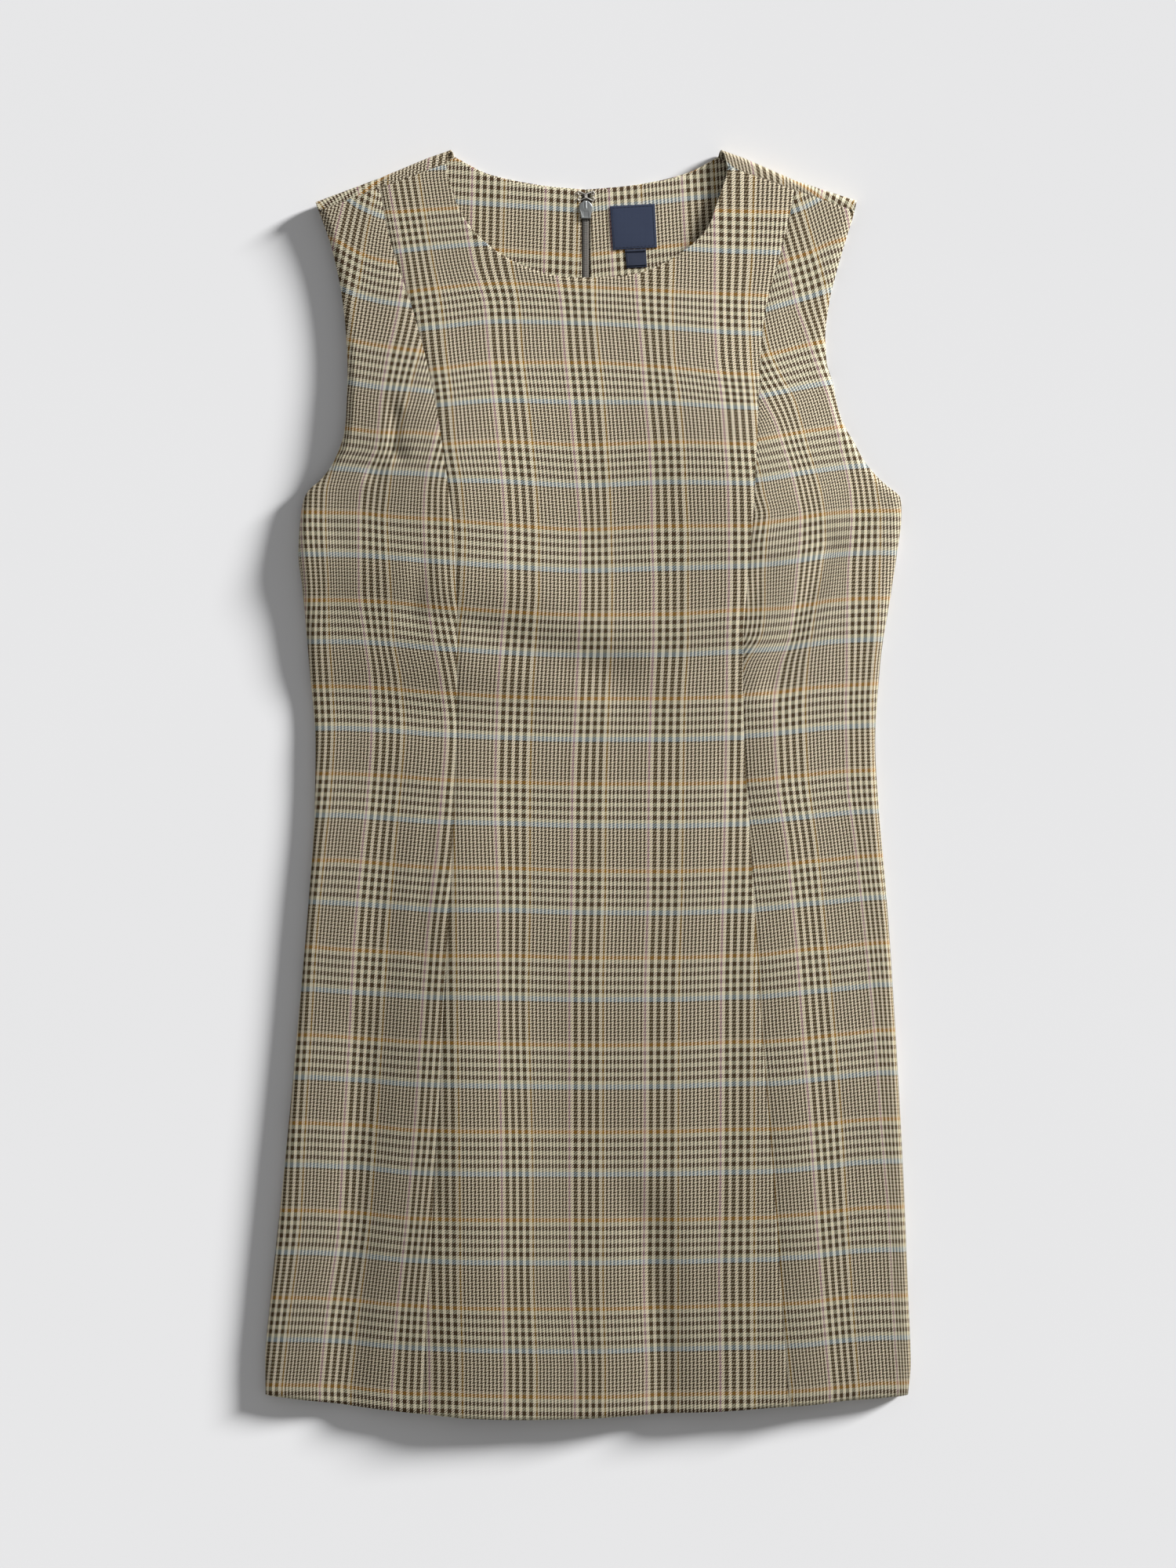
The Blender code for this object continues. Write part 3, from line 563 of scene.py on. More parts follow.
def shell(name, grids, faceUp, thickness, strips=2, sewn=()):
    # a closed shell of cloth: outer face, inner face, and edges rounded to meet between them.
    # grids holds (points, flat places) for each grid; thickness is a function of flat places.
    points, flats, faces, bakes, start = [], [], [], [], 0
    for number, (grid, flat) in enumerate(grids):
        rows, columns = grid.shape[:2]
        index = start + np.arange(rows * columns).reshape(rows, columns)
        faces.append(quads(index))
        bakes.append(bakePlaces(rows, columns, number, len(grids), strips))
        points.append(grid.reshape(-1, 3))
        flats.append(flat.reshape(-1, 2))
        start += rows * columns
    points, flats, faces = np.vstack(points), np.vstack(flats), np.vstack(faces)
    outerBake, innerBake = (np.concatenate(part) for part in zip(*bakes))
    keys = np.round(points / mm * 500 + 0.137).astype(np.int64)
    _, first, merged = np.unique(keys, axis=0, return_index=True, return_inverse=True)
    merged = merged.ravel()
    points, flats, faces = points[first], flats[first], merged[faces]
    # vertex normals, turned outwards
    across = points[faces[:, 2]] - points[faces[:, 0]]
    along = points[faces[:, 3]] - points[faces[:, 1]]
    faceNormals = np.cross(across, along)
    if (faceNormals[:, 2].sum() > 0) != faceUp:
        faces = faces[:, ::-1]
        outerBake, innerBake = outerBake[:, ::-1], innerBake[:, ::-1]
        faceNormals = -faceNormals
    normals = np.zeros_like(points)
    for corner in range(4):
        np.add.at(normals, faces[:, corner], faceNormals)
    normals /= np.linalg.norm(normals, axis=1)[:, None]
    isRim, near = rimDistance(flats, faces)
    thick = thickness(flats)
    meet = np.full(len(points), 0.5)
    for path in sewn:
        meet[nearPath(flats[:, 0], flats[:, 1], path)[0] < 1] = dress["sewnShare"]
    curve = 1 - np.sqrt(1 - np.clip(1 - near / dress["edgeRoll"], 0, 1) ** 2)
    outer = points - normals * (thick * meet * curve)[:, None] * mm
    inner = points - normals * (thick * (1 - (1 - meet) * curve))[:, None] * mm
    innerIndex = np.where(isRim, np.arange(len(points)), len(points) + np.cumsum(~isRim) - 1)
    allPoints = np.vstack([outer, inner[~isRim]])
    allFaces = np.vstack([faces, innerIndex[faces][:, ::-1]])
    weave = weaveOf(name, flats)
    loopWeave = np.vstack([weave[faces].reshape(-1, 2), weave[faces][:, ::-1].reshape(-1, 2)])
    loopBake = np.vstack([outerBake.reshape(-1, 2), innerBake[:, ::-1].reshape(-1, 2)])
    data = bpy.data.meshes.new(name)
    data.from_pydata(allPoints.tolist(), [], allFaces.tolist())
    for layer, places in (("weave", loopWeave), ("OFBake", loopBake)):
        data.uv_layers.new(name=layer).data.foreach_set("uv", places.astype(np.float32).ravel())
    data.shade_smooth()
    data.validate()
    return data


def bakePlaces(rows, columns, number, count, strips):
    # each face's corners on the map for baked looks: the outer face in strips, the inner one small
    low, high = number / count, (number + 1) / count
    rowOf, columnOf = np.meshgrid(np.arange(rows - 1), np.arange(columns - 1), indexing="ij")
    perStrip = math.ceil((rows - 1) / strips)
    strip = rowOf // perStrip
    corners = [(0, 0), (1, 0), (1, 1), (0, 1)]
    outer, inner = [], []
    for down, across in corners:
        share = (columnOf + across) / (columns - 1)
        x = (strip + 0.02 + 0.96 * share) / strips * 0.86
        y = 1 - 0.005 - 0.99 * (rowOf - strip * perStrip + down) / perStrip
        outer.append(np.stack([x, between(low, high, y)], -1).reshape(-1, 2))
        x = 0.87 + 0.12 * share
        y = 0.995 - 0.99 * (rowOf + down) / (rows - 1)
        inner.append(np.stack([x, between(low, high, y)], -1).reshape(-1, 2))
    return np.stack(outer, 1), np.stack(inner, 1)


def place(name, data, material, node):
    # puts a mesh in the scene on the body of the dress, in place of its plain solid
    piece = bpy.data.objects.new(name, data)
    bpy.context.scene.collection.objects.link(piece)
    data.materials.append(material)
    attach(piece, "root")
    if node:
        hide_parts(node)
    return piece


# the lines on the front along which panels are sewn together
frontSeams = [[(x, down) for down, x in table] for table in (leftPrincess, rightPrincess)]
frontSeams += [[row[2:] for row in rows] for rows in shoulders.values()]


def panelThickness(turnedEdge):
    # thicker where the hem is turned up and where an open edge is turned in
    def thickness(flat):
        hemOff = hemDown(flat[:, 0]) - flat[:, 1]
        thick = between(dress["hemCloth"], dress["cloth"], ramp(hemOff, dress["hemDepth"], 1.6))
        if turnedEdge:
            off = nearPath(flat[:, 0], flat[:, 1], turnedEdge)[0]
            edge = between(dress["edgeCloth"], dress["cloth"], ramp(off, dress["edgeDepth"], 6))
            thick = np.maximum(thick, edge)
        return thick
    return thickness


# Materials.

def linear(*levels):
    # a colour for a shader, from levels of 0 to 255 on the screen
    def steady(share):
        return share / 12.92 if share <= 10 / 255 else ((share + 0.055) / 1.055) ** 2.4

    return [steady(level / 255) for level in levels] + [1]


def plugIn(tree, made, inputs):
    # an input is a value or another node's output, by its name or as in0, in1 and so on
    for key, value in inputs.items():
        byNumber = key.startswith("in") and key[2:].isdigit()
        socket = made.inputs[int(key[2:]) if byNumber else key]
        if isinstance(value, bpy.types.NodeSocket):
            tree.links.new(value, socket)
        else:
            socket.default_value = value
    return made


def add(tree, kind, settings=None, **inputs):
    made = tree.nodes.new("ShaderNode" + kind)
    for key, value in (settings or {}).items():
        setattr(made, key, value)
    return plugIn(tree, made, inputs)


def calc(tree, operation, *values):
    inputs = {f"in{number}": value for number, value in enumerate(values)}
    return add(tree, "Math", {"operation": operation}, **inputs).outputs[0]


def mixColour(tree, factor, first, second, blend="MIX"):
    kind = {"data_type": "RGBA", "blend_type": blend}
    return add(tree, "Mix", kind, in0=factor, in6=first, in7=second).outputs[2]


def mixValue(tree, factor, first, second):
    return add(tree, "Mix", {"data_type": "FLOAT"}, in0=factor, in2=first, in3=second).outputs[0]


def roundness(tree, at):
    # the height of round threads side by side, at a place counted in threads
    side = calc(tree, "MULTIPLY_ADD", calc(tree, "FRACT", at), 2, -1)
    return calc(tree, "SUBTRACT", 1, calc(tree, "MULTIPLY", side, side))


def newGroup(name, inputs, outputs):
    group = bpy.data.node_groups.new(name, "ShaderNodeTree")
    kinds = {"vector": "NodeSocketVector", "value": "NodeSocketFloat", "colour": "NodeSocketColor"}
    for way, sockets in (("INPUT", inputs), ("OUTPUT", outputs)):
        for label, kind, *start in sockets:
            socket = group.interface.new_socket(name=label, in_out=way, socket_type=kinds[kind])
            if start:
                socket.default_value = start[0]
    return group, group.nodes.new("NodeGroupInput"), group.nodes.new("NodeGroupOutput")


check = {  # counts of threads in one repeat, and the colours of the yarns
    "warpThreads": 118,
    "weftThreads": 144,
    "wideWarp": 69,           # the thread at which the wide bars of the warp start
    "fineWeft": 76,           # the one at which the fine bars of the weft start
    "fineWeftEnd": 139,
    "warpOver": 2.4,          # how many of four threads the warp covers, as it stands proud
    "weftHeight": 0.7,
    "warpCream": linear(254, 242, 214),
    "warpFineDark": linear(80, 64, 44),
    "warpOlive": linear(88, 72, 47),
    "weftCream": linear(216, 200, 168),
    "weftMint": linear(236, 230, 196),
    "weftFineDark": linear(70, 53, 36),
    "weftBrown": linear(76, 49, 33),
    "ochre": linear(148, 110, 38),
    "lilac": linear(186, 146, 154),
    "orange": linear(210, 148, 54),
    "blue": linear(192, 215, 224),
}


def checkGroup():
    # the woven check: coloured warp and weft in a 2/2 twill
    tree, inputs, outputs = newGroup(
        "woven check",
        [("Weave", "vector"), ("Melange", "value", 0.12)],
        [("Color", "colour"), ("Height", "value"), ("Roughness", "value")],
    )
    at = add(tree, "SeparateXYZ", in0=inputs.outputs["Weave"]).outputs
    warpAt = calc(tree, "MULTIPLY", at[0], check["warpThreads"])
    weftAt = calc(tree, "MULTIPLY", at[1], check["weftThreads"])
    warp, weft = calc(tree, "FLOOR", warpAt), calc(tree, "FLOOR", weftAt)
    warpNo = calc(tree, "FLOORED_MODULO", warp, check["warpThreads"])
    weftNo = calc(tree, "FLOORED_MODULO", weft, check["weftThreads"])

    def stripe(number, start, period, width):
        # 1 on the last threads of each period, from a thread on
        counted = calc(tree, "FLOORED_MODULO", calc(tree, "SUBTRACT", number, start), period)
        return calc(tree, "GREATER_THAN", counted, width - 0.5)

    def band(number, start, width):
        middle = start + (width - 1) / 2
        return calc(tree, "COMPARE", number, middle, width / 2)

    # warp: ochre 3, (cream 3, dark 3) x 10, cream 3, lilac 3, cream 5, (olive 6, cream 5) x 4
    isWide = calc(tree, "GREATER_THAN", warpNo, check["wideWarp"] - 0.5)
    isDark = mixValue(tree, isWide, stripe(warpNo, 3, 6, 3), stripe(warpNo, check["wideWarp"], 11, 5))
    dark = mixColour(tree, isWide, check["warpFineDark"], check["warpOlive"])
    warpColour = mixColour(tree, isDark, check["warpCream"], dark)
    warpColour = mixColour(tree, band(warpNo, 66, 3), warpColour, check["lilac"])
    warpColour = mixColour(tree, band(warpNo, 0, 3), warpColour, check["ochre"])

    # weft: orange 6, cream 7, (brown 7, cream 7) x 3, brown 7, cream 6, blue 8,
    # (dark 3, cream 3) x 10, dark 3, cream 5
    isFine = calc(tree, "GREATER_THAN", weftNo, check["fineWeft"] - 0.5)
    inBars = calc(tree, "LESS_THAN", weftNo, check["fineWeftEnd"] - 0.5)
    fineDark = calc(tree, "MULTIPLY", stripe(weftNo, 79, 6, 3), inBars)
    isDark = mixValue(tree, isFine, stripe(weftNo, 6, 14, 7), fineDark)
    dark = mixColour(tree, isFine, check["weftBrown"], check["weftFineDark"])
    light = mixColour(tree, isFine, check["weftMint"], check["weftCream"])
    weftColour = mixColour(tree, isDark, light, dark)
    weftColour = mixColour(tree, band(weftNo, 68, 8), weftColour, check["blue"])
    weftColour = mixColour(tree, band(weftNo, 0, 6), weftColour, check["orange"])

    # twill: two threads over, two under, one step on in each row
    along = calc(tree, "ADD", calc(tree, "ADD", warp, weftAt), 0.15)
    step = calc(tree, "FLOORED_MODULO", along, 4)
    isWarp = calc(tree, "LESS_THAN", step, check["warpOver"])
    colour = mixColour(tree, isWarp, weftColour, warpColour)

    # each thread is round and uneven along its length, with painted shade darkening it at its sides and
    # where it dives
    share = calc(tree, "MULTIPLY_ADD", step, 2 / check["warpOver"], -1)
    square = calc(tree, "MULTIPLY", share, share)
    crown = calc(tree, "SUBTRACT", 1, calc(tree, "MULTIPLY", square, square))
    warpRound = calc(tree, "MULTIPLY", roundness(tree, warpAt), crown)
    overFloat = calc(tree, "MULTIPLY_ADD", warpRound, 0.8, 0.2)
    weftRound = calc(tree, "MULTIPLY", roundness(tree, weftAt), check["weftHeight"])
    height = mixValue(tree, isWarp, weftRound, overFloat)
    thread = mixValue(tree, isWarp, calc(tree, "ADD", weft, 5000), warp)
    tone = add(tree, "TexWhiteNoise", {"noise_dimensions": "1D"}, W=thread).outputs["Value"]
    slub = add(
        tree, "TexNoise", {"noise_dimensions": "2D"},
        Vector=inputs.outputs["Weave"], Scale=46.0, Detail=3.0, Roughness=0.7,
    ).outputs[0]
    uneven = calc(tree, "ADD", calc(tree, "SUBTRACT", tone, 0.5), calc(tree, "SUBTRACT", slub, 0.5))
    # painted shade: the colour is darker where a thread lies lower (its sides, the ends of its floats, the
    # sunk weft); the yarn's random tone is added to it
    paintedThreadShade = calc(tree, "MULTIPLY_ADD", height, 0.96, 0.24)
    shade = calc(tree, "MULTIPLY_ADD", uneven, inputs.outputs["Melange"], paintedThreadShade)
    toneAndPaintedShade = add(tree, "CombineColor", in0=shade, in1=shade, in2=shade).outputs[0]
    colour = mixColour(tree, 1.0, colour, toneAndPaintedShade, "MULTIPLY")
    tree.links.new(colour, outputs.inputs["Color"])
    tree.links.new(height, outputs.inputs["Height"])
    tree.links.new(calc(tree, "MULTIPLY_ADD", height, -0.08, 0.92), outputs.inputs["Roughness"])
    return tree


def newMaterial(name, **sockets):
    # a material with its own shader; sockets are set by name with _ for a space
    material = bpy.data.materials.new(name)
    material.use_nodes = True
    shader = material.node_tree.nodes["Principled BSDF"]
    for key, value in sockets.items():
        shader.inputs[key.replace("_", " ")].default_value = value
    return material, material.node_tree, shader


def uses(tree, group, **inputs):
    return add(tree, "Group", {"node_tree": group}, **inputs)


def weavePlace(tree):
    return add(tree, "UVMap", {"uv_map": "weave"}).outputs[0]


def objectPlace(tree):
    return add(tree, "TexCoord").outputs["Object"]


def woolMaterial(name, group, melange):
    material, tree, shader = newMaterial(
        name, Sheen_Weight=0.05, Sheen_Roughness=0.45, Specular_IOR_Level=0.2,
    )
    cloth = uses(tree, group, Weave=weavePlace(tree), Melange=melange)
    fuzz = add(tree, "TexNoise", Vector=objectPlace(tree), Scale=1400.0, Detail=2.0)
    height = calc(tree, "MULTIPLY_ADD", fuzz.outputs[0], 0.35, cloth.outputs["Height"])
    bump = add(tree, "Bump", Strength=0.5, Distance=0.00012, Height=height)
    tree.links.new(cloth.outputs["Color"], shader.inputs["Base Color"])
    tree.links.new(cloth.outputs["Roughness"], shader.inputs["Roughness"])
    tree.links.new(bump.outputs[0], shader.inputs["Normal"])
    return material


def fineWeaveGroup():
    # a plain weave of fine threads, for the label and the size tab
    tree, inputs, outputs = newGroup(
        "fine plain weave",
        [("Weave", "vector"), ("Contrast", "value", 0.3)],
        [("Shade", "value"), ("Height", "value")],
    )
    at = add(tree, "SeparateXYZ", in0=inputs.outputs["Weave"]).outputs
    warp, weft = calc(tree, "FLOOR", at[0]), calc(tree, "FLOOR", at[1])
    crossing = calc(tree, "FLOORED_MODULO", calc(tree, "ADD", warp, weft), 2)
    isWarp = calc(tree, "COMPARE", crossing, 0, 0.5)

    height = mixValue(tree, isWarp, roundness(tree, at[1]), roundness(tree, at[0]))
    thread = mixValue(tree, isWarp, calc(tree, "ADD", weft, 900), warp)
    tone = add(tree, "TexWhiteNoise", {"noise_dimensions": "1D"}, W=thread).outputs["Value"]
    # partly painted shade between the threads, by their height, and partly tone that differs at random from
    # thread to thread
    shade = calc(tree, "ADD", calc(tree, "MULTIPLY", height, 0.7), calc(tree, "MULTIPLY", tone, 0.3))
    low = calc(tree, "SUBTRACT", 1, inputs.outputs["Contrast"])
    tree.links.new(mixValue(tree, shade, low, 1), outputs.inputs["Shade"])
    tree.links.new(height, outputs.inputs["Height"])
    return tree


def grainGroup():
    # fine grain and soft blotches, for metal, nylon and the floor
    tree, inputs, outputs = newGroup(
        "grain",
        [("Place", "vector"), ("Grain", "value", 3000), ("Blotch", "value", 200)],
        [("Fine", "value"), ("Soft", "value")],
    )
    for label, size, detail in (("Fine", "Grain", 3.0), ("Soft", "Blotch", 2.0)):
        at, scale = inputs.outputs["Place"], inputs.outputs[size]
        noise = add(tree, "TexNoise", Vector=at, Scale=scale, Detail=detail)
        tree.links.new(noise.outputs[0], outputs.inputs[label])
    return tree


def labelMaterial(name, dark, light):
    material, tree, shader = newMaterial(
        name, Sheen_Weight=0.12, Sheen_Roughness=0.5, Specular_IOR_Level=0.3,
    )
    weave = uses(tree, fineWeave, Weave=weavePlace(tree), Contrast=0.4)
    spots = uses(tree, grain, Place=objectPlace(tree), Grain=2500, Blotch=160)
    # the navy's darker and lighter tones are mixed by that shade: painted shade between threads plus random
    # thread tone
    colour = mixColour(tree, weave.outputs["Shade"], dark, light)
    tree.links.new(colour, shader.inputs["Base Color"])
    rough = calc(tree, "MULTIPLY_ADD", spots.outputs["Fine"], 0.2, 0.68)
    tree.links.new(rough, shader.inputs["Roughness"])
    bump = add(tree, "Bump", Strength=0.5, Distance=0.00006, Height=weave.outputs["Height"])
    tree.links.new(bump.outputs[0], shader.inputs["Normal"])
    return material


def grainyMaterial(name, dark, light, roughness, depth, **sockets):
    # metal, nylon or thread: two tones, uneven gloss and a fine bump
    material, tree, shader = newMaterial(name, **sockets)
    spots = uses(tree, grain, Place=objectPlace(tree), Grain=4200, Blotch=420)
    soft = calc(tree, "MULTIPLY", spots.outputs["Soft"], 0.5)
    tone = calc(tree, "MULTIPLY_ADD", spots.outputs["Fine"], 0.5, soft)
    tree.links.new(mixColour(tree, tone, dark, light), shader.inputs["Base Color"])
    rough = calc(tree, "MULTIPLY_ADD", spots.outputs["Soft"], 0.25, roughness - 0.12)
    tree.links.new(rough, shader.inputs["Roughness"])
    bump = add(tree, "Bump", Strength=0.4, Distance=depth, Height=spots.outputs["Fine"])
    tree.links.new(bump.outputs[0], shader.inputs["Normal"])
    return material


print("materials")
checkTree, fineWeave, grain = checkGroup(), fineWeaveGroup(), grainGroup()
wool = woolMaterial("checked wool", checkTree, 0.16)
labelCloth = labelMaterial("navy label", linear(28, 35, 52), linear(52, 62, 86))
tabCloth = labelMaterial("navy tab", linear(30, 36, 50), linear(52, 59, 78))
# its name, the darker and the lighter tone, roughness, depth of the bump, how metallic
grainyLooks = [
    ("navy thread", (14, 18, 34), (30, 36, 58), 0.7, 0.00004, 0),
    ("pale thread", (176, 166, 148), (226, 218, 204), 0.7, 0.00004, 0),
    ("coil nylon", (98, 95, 90), (142, 138, 132), 0.42, 0.00003, 0),
    ("zip cord", (120, 116, 110), (176, 170, 162), 0.6, 0.00004, 0),
    # the zip tape's top shows between the facings above the slider: partly real tape, partly a dark piece
    # standing in for the shade in that gap
    ("zip tape", (38, 33, 28), (60, 53, 45), 0.85, 0.00005, 0),
    ("pewter lacquer", (138, 141, 141), (182, 185, 184), 0.36, 0.00002, 0.75),
    ("bright wire", (196, 192, 186), (228, 223, 216), 0.34, 0.00001, 0.6),
]
navyThread, paleThread, coilNylon, cordThread, tapeCloth, pewter, brightWire = (
    grainyMaterial(name, linear(*dark), linear(*light), roughness, depth, Metallic=metallic)
    for name, dark, light, roughness, depth, metallic in grainyLooks
)

# The front.
parts = rowParts()
edgeDowns = between(dress["armholeTop"], leftEdge[-1][0], parts)


def frontCentre():
    halfGap = dress["seamGap"] / 2
    steps = withEdges(136)
    left = np.array(shoulders["left"][1:], float)[:, 2:] + (0, halfGap)
    right = np.array(shoulders["right"][1:], float)[:, 2:] + (0, halfGap)
    shoulderCount = 18
    leftTop = left[0] + (halfGap, 0)
    rightTop = right[0] - (halfGap, 0)
    firsts = [between(leftTop, left[1], off / abs(left[1][0] - leftTop[0])) for off in fromEdge]
    lasts = [between(rightTop, right[1], off / abs(right[1][0] - rightTop[0])) for off in toEdge]
    shoulderShares = np.linspace(0.02, 1, shoulderCount)[1:]
    tops = np.vstack([
        firsts,
        [between(leftTop, left[1], share) for share in shoulderShares],
        spread(frontNeck, 136 - 2 * shoulderCount + 2)[1:-1],
        [between(rightTop, right[1], share) for share in shoulderShares[::-1]],
        lasts,
    ])
    # the first rows follow the neckline at an even distance
    segment = np.diff(tops, axis=0)
    segment /= np.linalg.norm(segment, axis=1)[:, None]
    normal = np.column_stack([-segment[:, 1], segment[:, 0]])
    before, after = np.vstack([normal[:1], normal]), np.vstack([normal, normal[-1:]])
    mitre = (before + after) / (1 + (before * after).sum(1))[:, None]
    fromEnd = np.minimum(np.arange(len(tops)), np.arange(len(tops))[::-1])
    corner = len(edgeSteps) + len(shoulderShares)
    free = ramp(fromEnd, corner - 7, 7)
    straight = np.column_stack([np.zeros(len(tops)), 1 / np.maximum(abs(before[:, 1]), 0.7)])
    way = between(straight, mitre, free[:, None])
    firstEdge = lambda down: princessX("left", down) + halfGap
    lastEdge = lambda down: princessX("right", down) - halfGap
    topRows = [tops]
    for off in edgeSteps:
        row = tops + way * off
        low, high = firstEdge(row[0, 1]), lastEdge(row[-1, 1])
        count = len(steps[0])
        row[:count, 0] = low + steps[0]
        row[-count:, 0] = high - steps[2]
        topRows.append(row)
    rows = panelRows(topRows[-1], firstEdge, lastEdge, steps, parts[len(topRows):])
    plan = np.array(topRows + rows)
    x, down = plan[..., 0], plan[..., 1]
    height = frontHeight(x, down) + hemStitching(x, down)
    grids = [(toWorld(x, down, height), plan)]
    data = shell("front_centre", grids, True, panelThickness(frontNeck), sewn=frontSeams)
    return place("frontCentre", data, wool, "front_centre")


def frontSide(side):
    way = inward(side)
    halfGap = dress["seamGap"] / 2
    tip, princess = np.array(shoulders[side][:2], float)
    start = between(tip, princess, dress["sideRoll"] / abs(princess[0] - tip[0]))[2:]
    end = princess[2:] - (way * halfGap, 0)
    offs = np.array(toEdge) / abs(end[0] - start[0])
    steps = withEdges(46, firstEdge=False)
    shares = np.concatenate([[0], steps[1] * (1 - offs[0]), 1 - offs])
    tops = np.array([between(start, end, share) for share in shares]) + (0, halfGap)
    rows = panelRows(
        tops,
        lambda down: edgeX(side, down) + way * dress["sideRoll"],
        lambda down: princessX(side, down) - way * halfGap,
        steps, parts, way,
    )
    turned = ramp(edgeDowns, dress["underarm"], dress["underarmTurn"])
    plans, turns = rolledRows(side, rows, frontStops, tip[2:] + (0, halfGap), turned, edgeDowns)
    x, down = plans[..., 0], plans[..., 1]
    edge = between(dress["armholeHeight"], dress["sideSeamHeight"] + halfGap, turned)[:, None]
    height = between(edge, frontHeight(x, down) + hemStitching(x, down), turns)
    flat = unrolled(plans, height, len(frontStops))
    armholeDowns = np.arange(dress["armholeTop"], dress["armholeEnd"], 8)
    armhole = [(float(edgeX(side, at)), float(at)) for at in armholeDowns]
    name = f"front_side_{side}"
    grids = [(toWorld(x, down, height), flat)]
    data = shell(name, grids, True, panelThickness(armhole), 3, frontSeams)
    return place("frontSide" + side.capitalize(), data, wool, name)


# The back.

def outwards(row):
    # the way from the front of a shoulder row to its fold
    return (row[:2] - row[2:]) / np.linalg.norm(row[:2] - row[2:])


def foldStart(row):
    return row[:2] - dress["shoulderFold"] * outwards(row)


def neckLean(side, row):
    # how far the neckline leans inwards where it comes over the shoulder
    end = shoulders[side][-1][0]
    return 5.2 * inward(side) * (1 - ramp(abs(row[0] - end), 0, 16))


def shoulderStrip(side, shoulder):
    # the strip of the back that comes over the shoulder to the seam on the front
    angles = np.radians(np.arange(0, 181, 15))
    columns, flatColumns = [], []
    for row in shoulder:
        out = outwards(row)
        lean = neckLean(side, row)
        start = foldStart(row)
        top = frontHeight(*start)
        places = []
        for turn in angles:
            over = start + dress["shoulderFold"] * math.sin(turn) * out
            places.append((*over, top / 2 * (1 - math.cos(turn))))
        last = np.array(places[-1][:2])
        seam = row[2:] + dress["seamGap"] / 2 * out
        reach = np.linalg.norm(seam - last)
        for off in list(np.linspace(0, reach - 1.2, 4)[1:]) + [reach - step for step in toEdge]:
            at = last + (seam - last) * off / reach
            places.append((*at, float(frontHeight(*at))))
        places = np.array(places)
        turned = np.clip(np.arange(len(places))[::-1] / (len(places) - 1), 0, 1) ** 1.5
        places[:, 0] += lean * turned
        steps = np.linalg.norm(np.diff(places, axis=0), axis=1)
        lengths = np.concatenate([[0], np.cumsum(steps)])[:, None]
        columns.append(places)
        flatColumns.append(start + lengths * out + np.column_stack([lean * turned, 0 * turned]))
    strip = np.array(columns).transpose(1, 0, 2)[::-1]
    return toWorld(*strip.transpose(2, 0, 1)), np.array(flatColumns).transpose(1, 0, 2)[::-1]


def backHalf(side):
    way = inward(side)
    centre = dress["centreBack"] - way * dress["seamGap"] / 2
    tip, middle, end = np.array(shoulders[side], float)
    rollEnd = between(tip, middle, dress["sideRoll"] / abs(middle[0] - tip[0]))
    outer = [between(rollEnd, middle, share) for share in np.linspace(0, 1, 15)[:-1]]
    innerShares = np.concatenate([np.linspace(0, 0.97, 15), [0.983, 0.9925, 0.998, 1]])
    shoulder = np.array(outer + [between(middle, end, share) for share in innerShares])
    topsShoulder = np.array([foldStart(row) + (neckLean(side, row), 0) for row in shoulder])
    neckPath = [tuple(topsShoulder[-1])] + backNeck[side][1:] + [(centre, dress["centreBackTop"])]
    neckPath = np.array(neckPath) * (way, 1)
    neck = spread(neckPath, 38)[1:-1]
    neck = neck[neck[:, 0] < way * centre - 1.5] * (way, 1)
    ends = [(centre - way * off, dress["centreBackTop"] - off * 0.1) for off in toEdge]
    tops = np.vstack([topsShoulder, neck, ends])
    steps = withEdges(len(tops) - len(ends) + 1, firstEdge=False)
    backParts = np.concatenate([parts[:4], parts[4:-4][::2], parts[-4:]])
    downs = between(dress["armholeTop"], leftEdge[-1][0], backParts)
    rows = panelRows(
        tops,
        lambda down: edgeX(side, down) + way * dress["sideRoll"],
        lambda down: centre + 0 * down,
        steps, backParts, way,
    )
    turned = ramp(downs, dress["underarm"] + dress["backTurnDelay"], dress["underarmTurn"])
    plans, turns = rolledRows(side, rows, backStops, foldStart(tip), turned, downs)
    height = (dress["sideSeamHeight"] - dress["seamGap"] / 2) * turned[:, None] * (1 - turns)
    x, down = plans[..., 0], plans[..., 1]
    flat = unrolled(plans, height, len(backStops))
    rolled = [between(tip, rollEnd, stop) for stop in backStops]
    strip, flatStrip = shoulderStrip(side, rolled + list(shoulder))
    grids = [(strip, flatStrip), (toWorld(x, down, height), flat)]
    name = f"back_{side}"
    seam = [tuple(at) for at in flatStrip[0]]
    data = shell(name, grids, False, panelThickness(None), sewn=[seam])
    return place("back" + side.capitalize(), data, wool, name)


print("front")
frontCentre()
frontSide("left")
frontSide("right")
print("back")
backHalf("left")
backHalf("right")

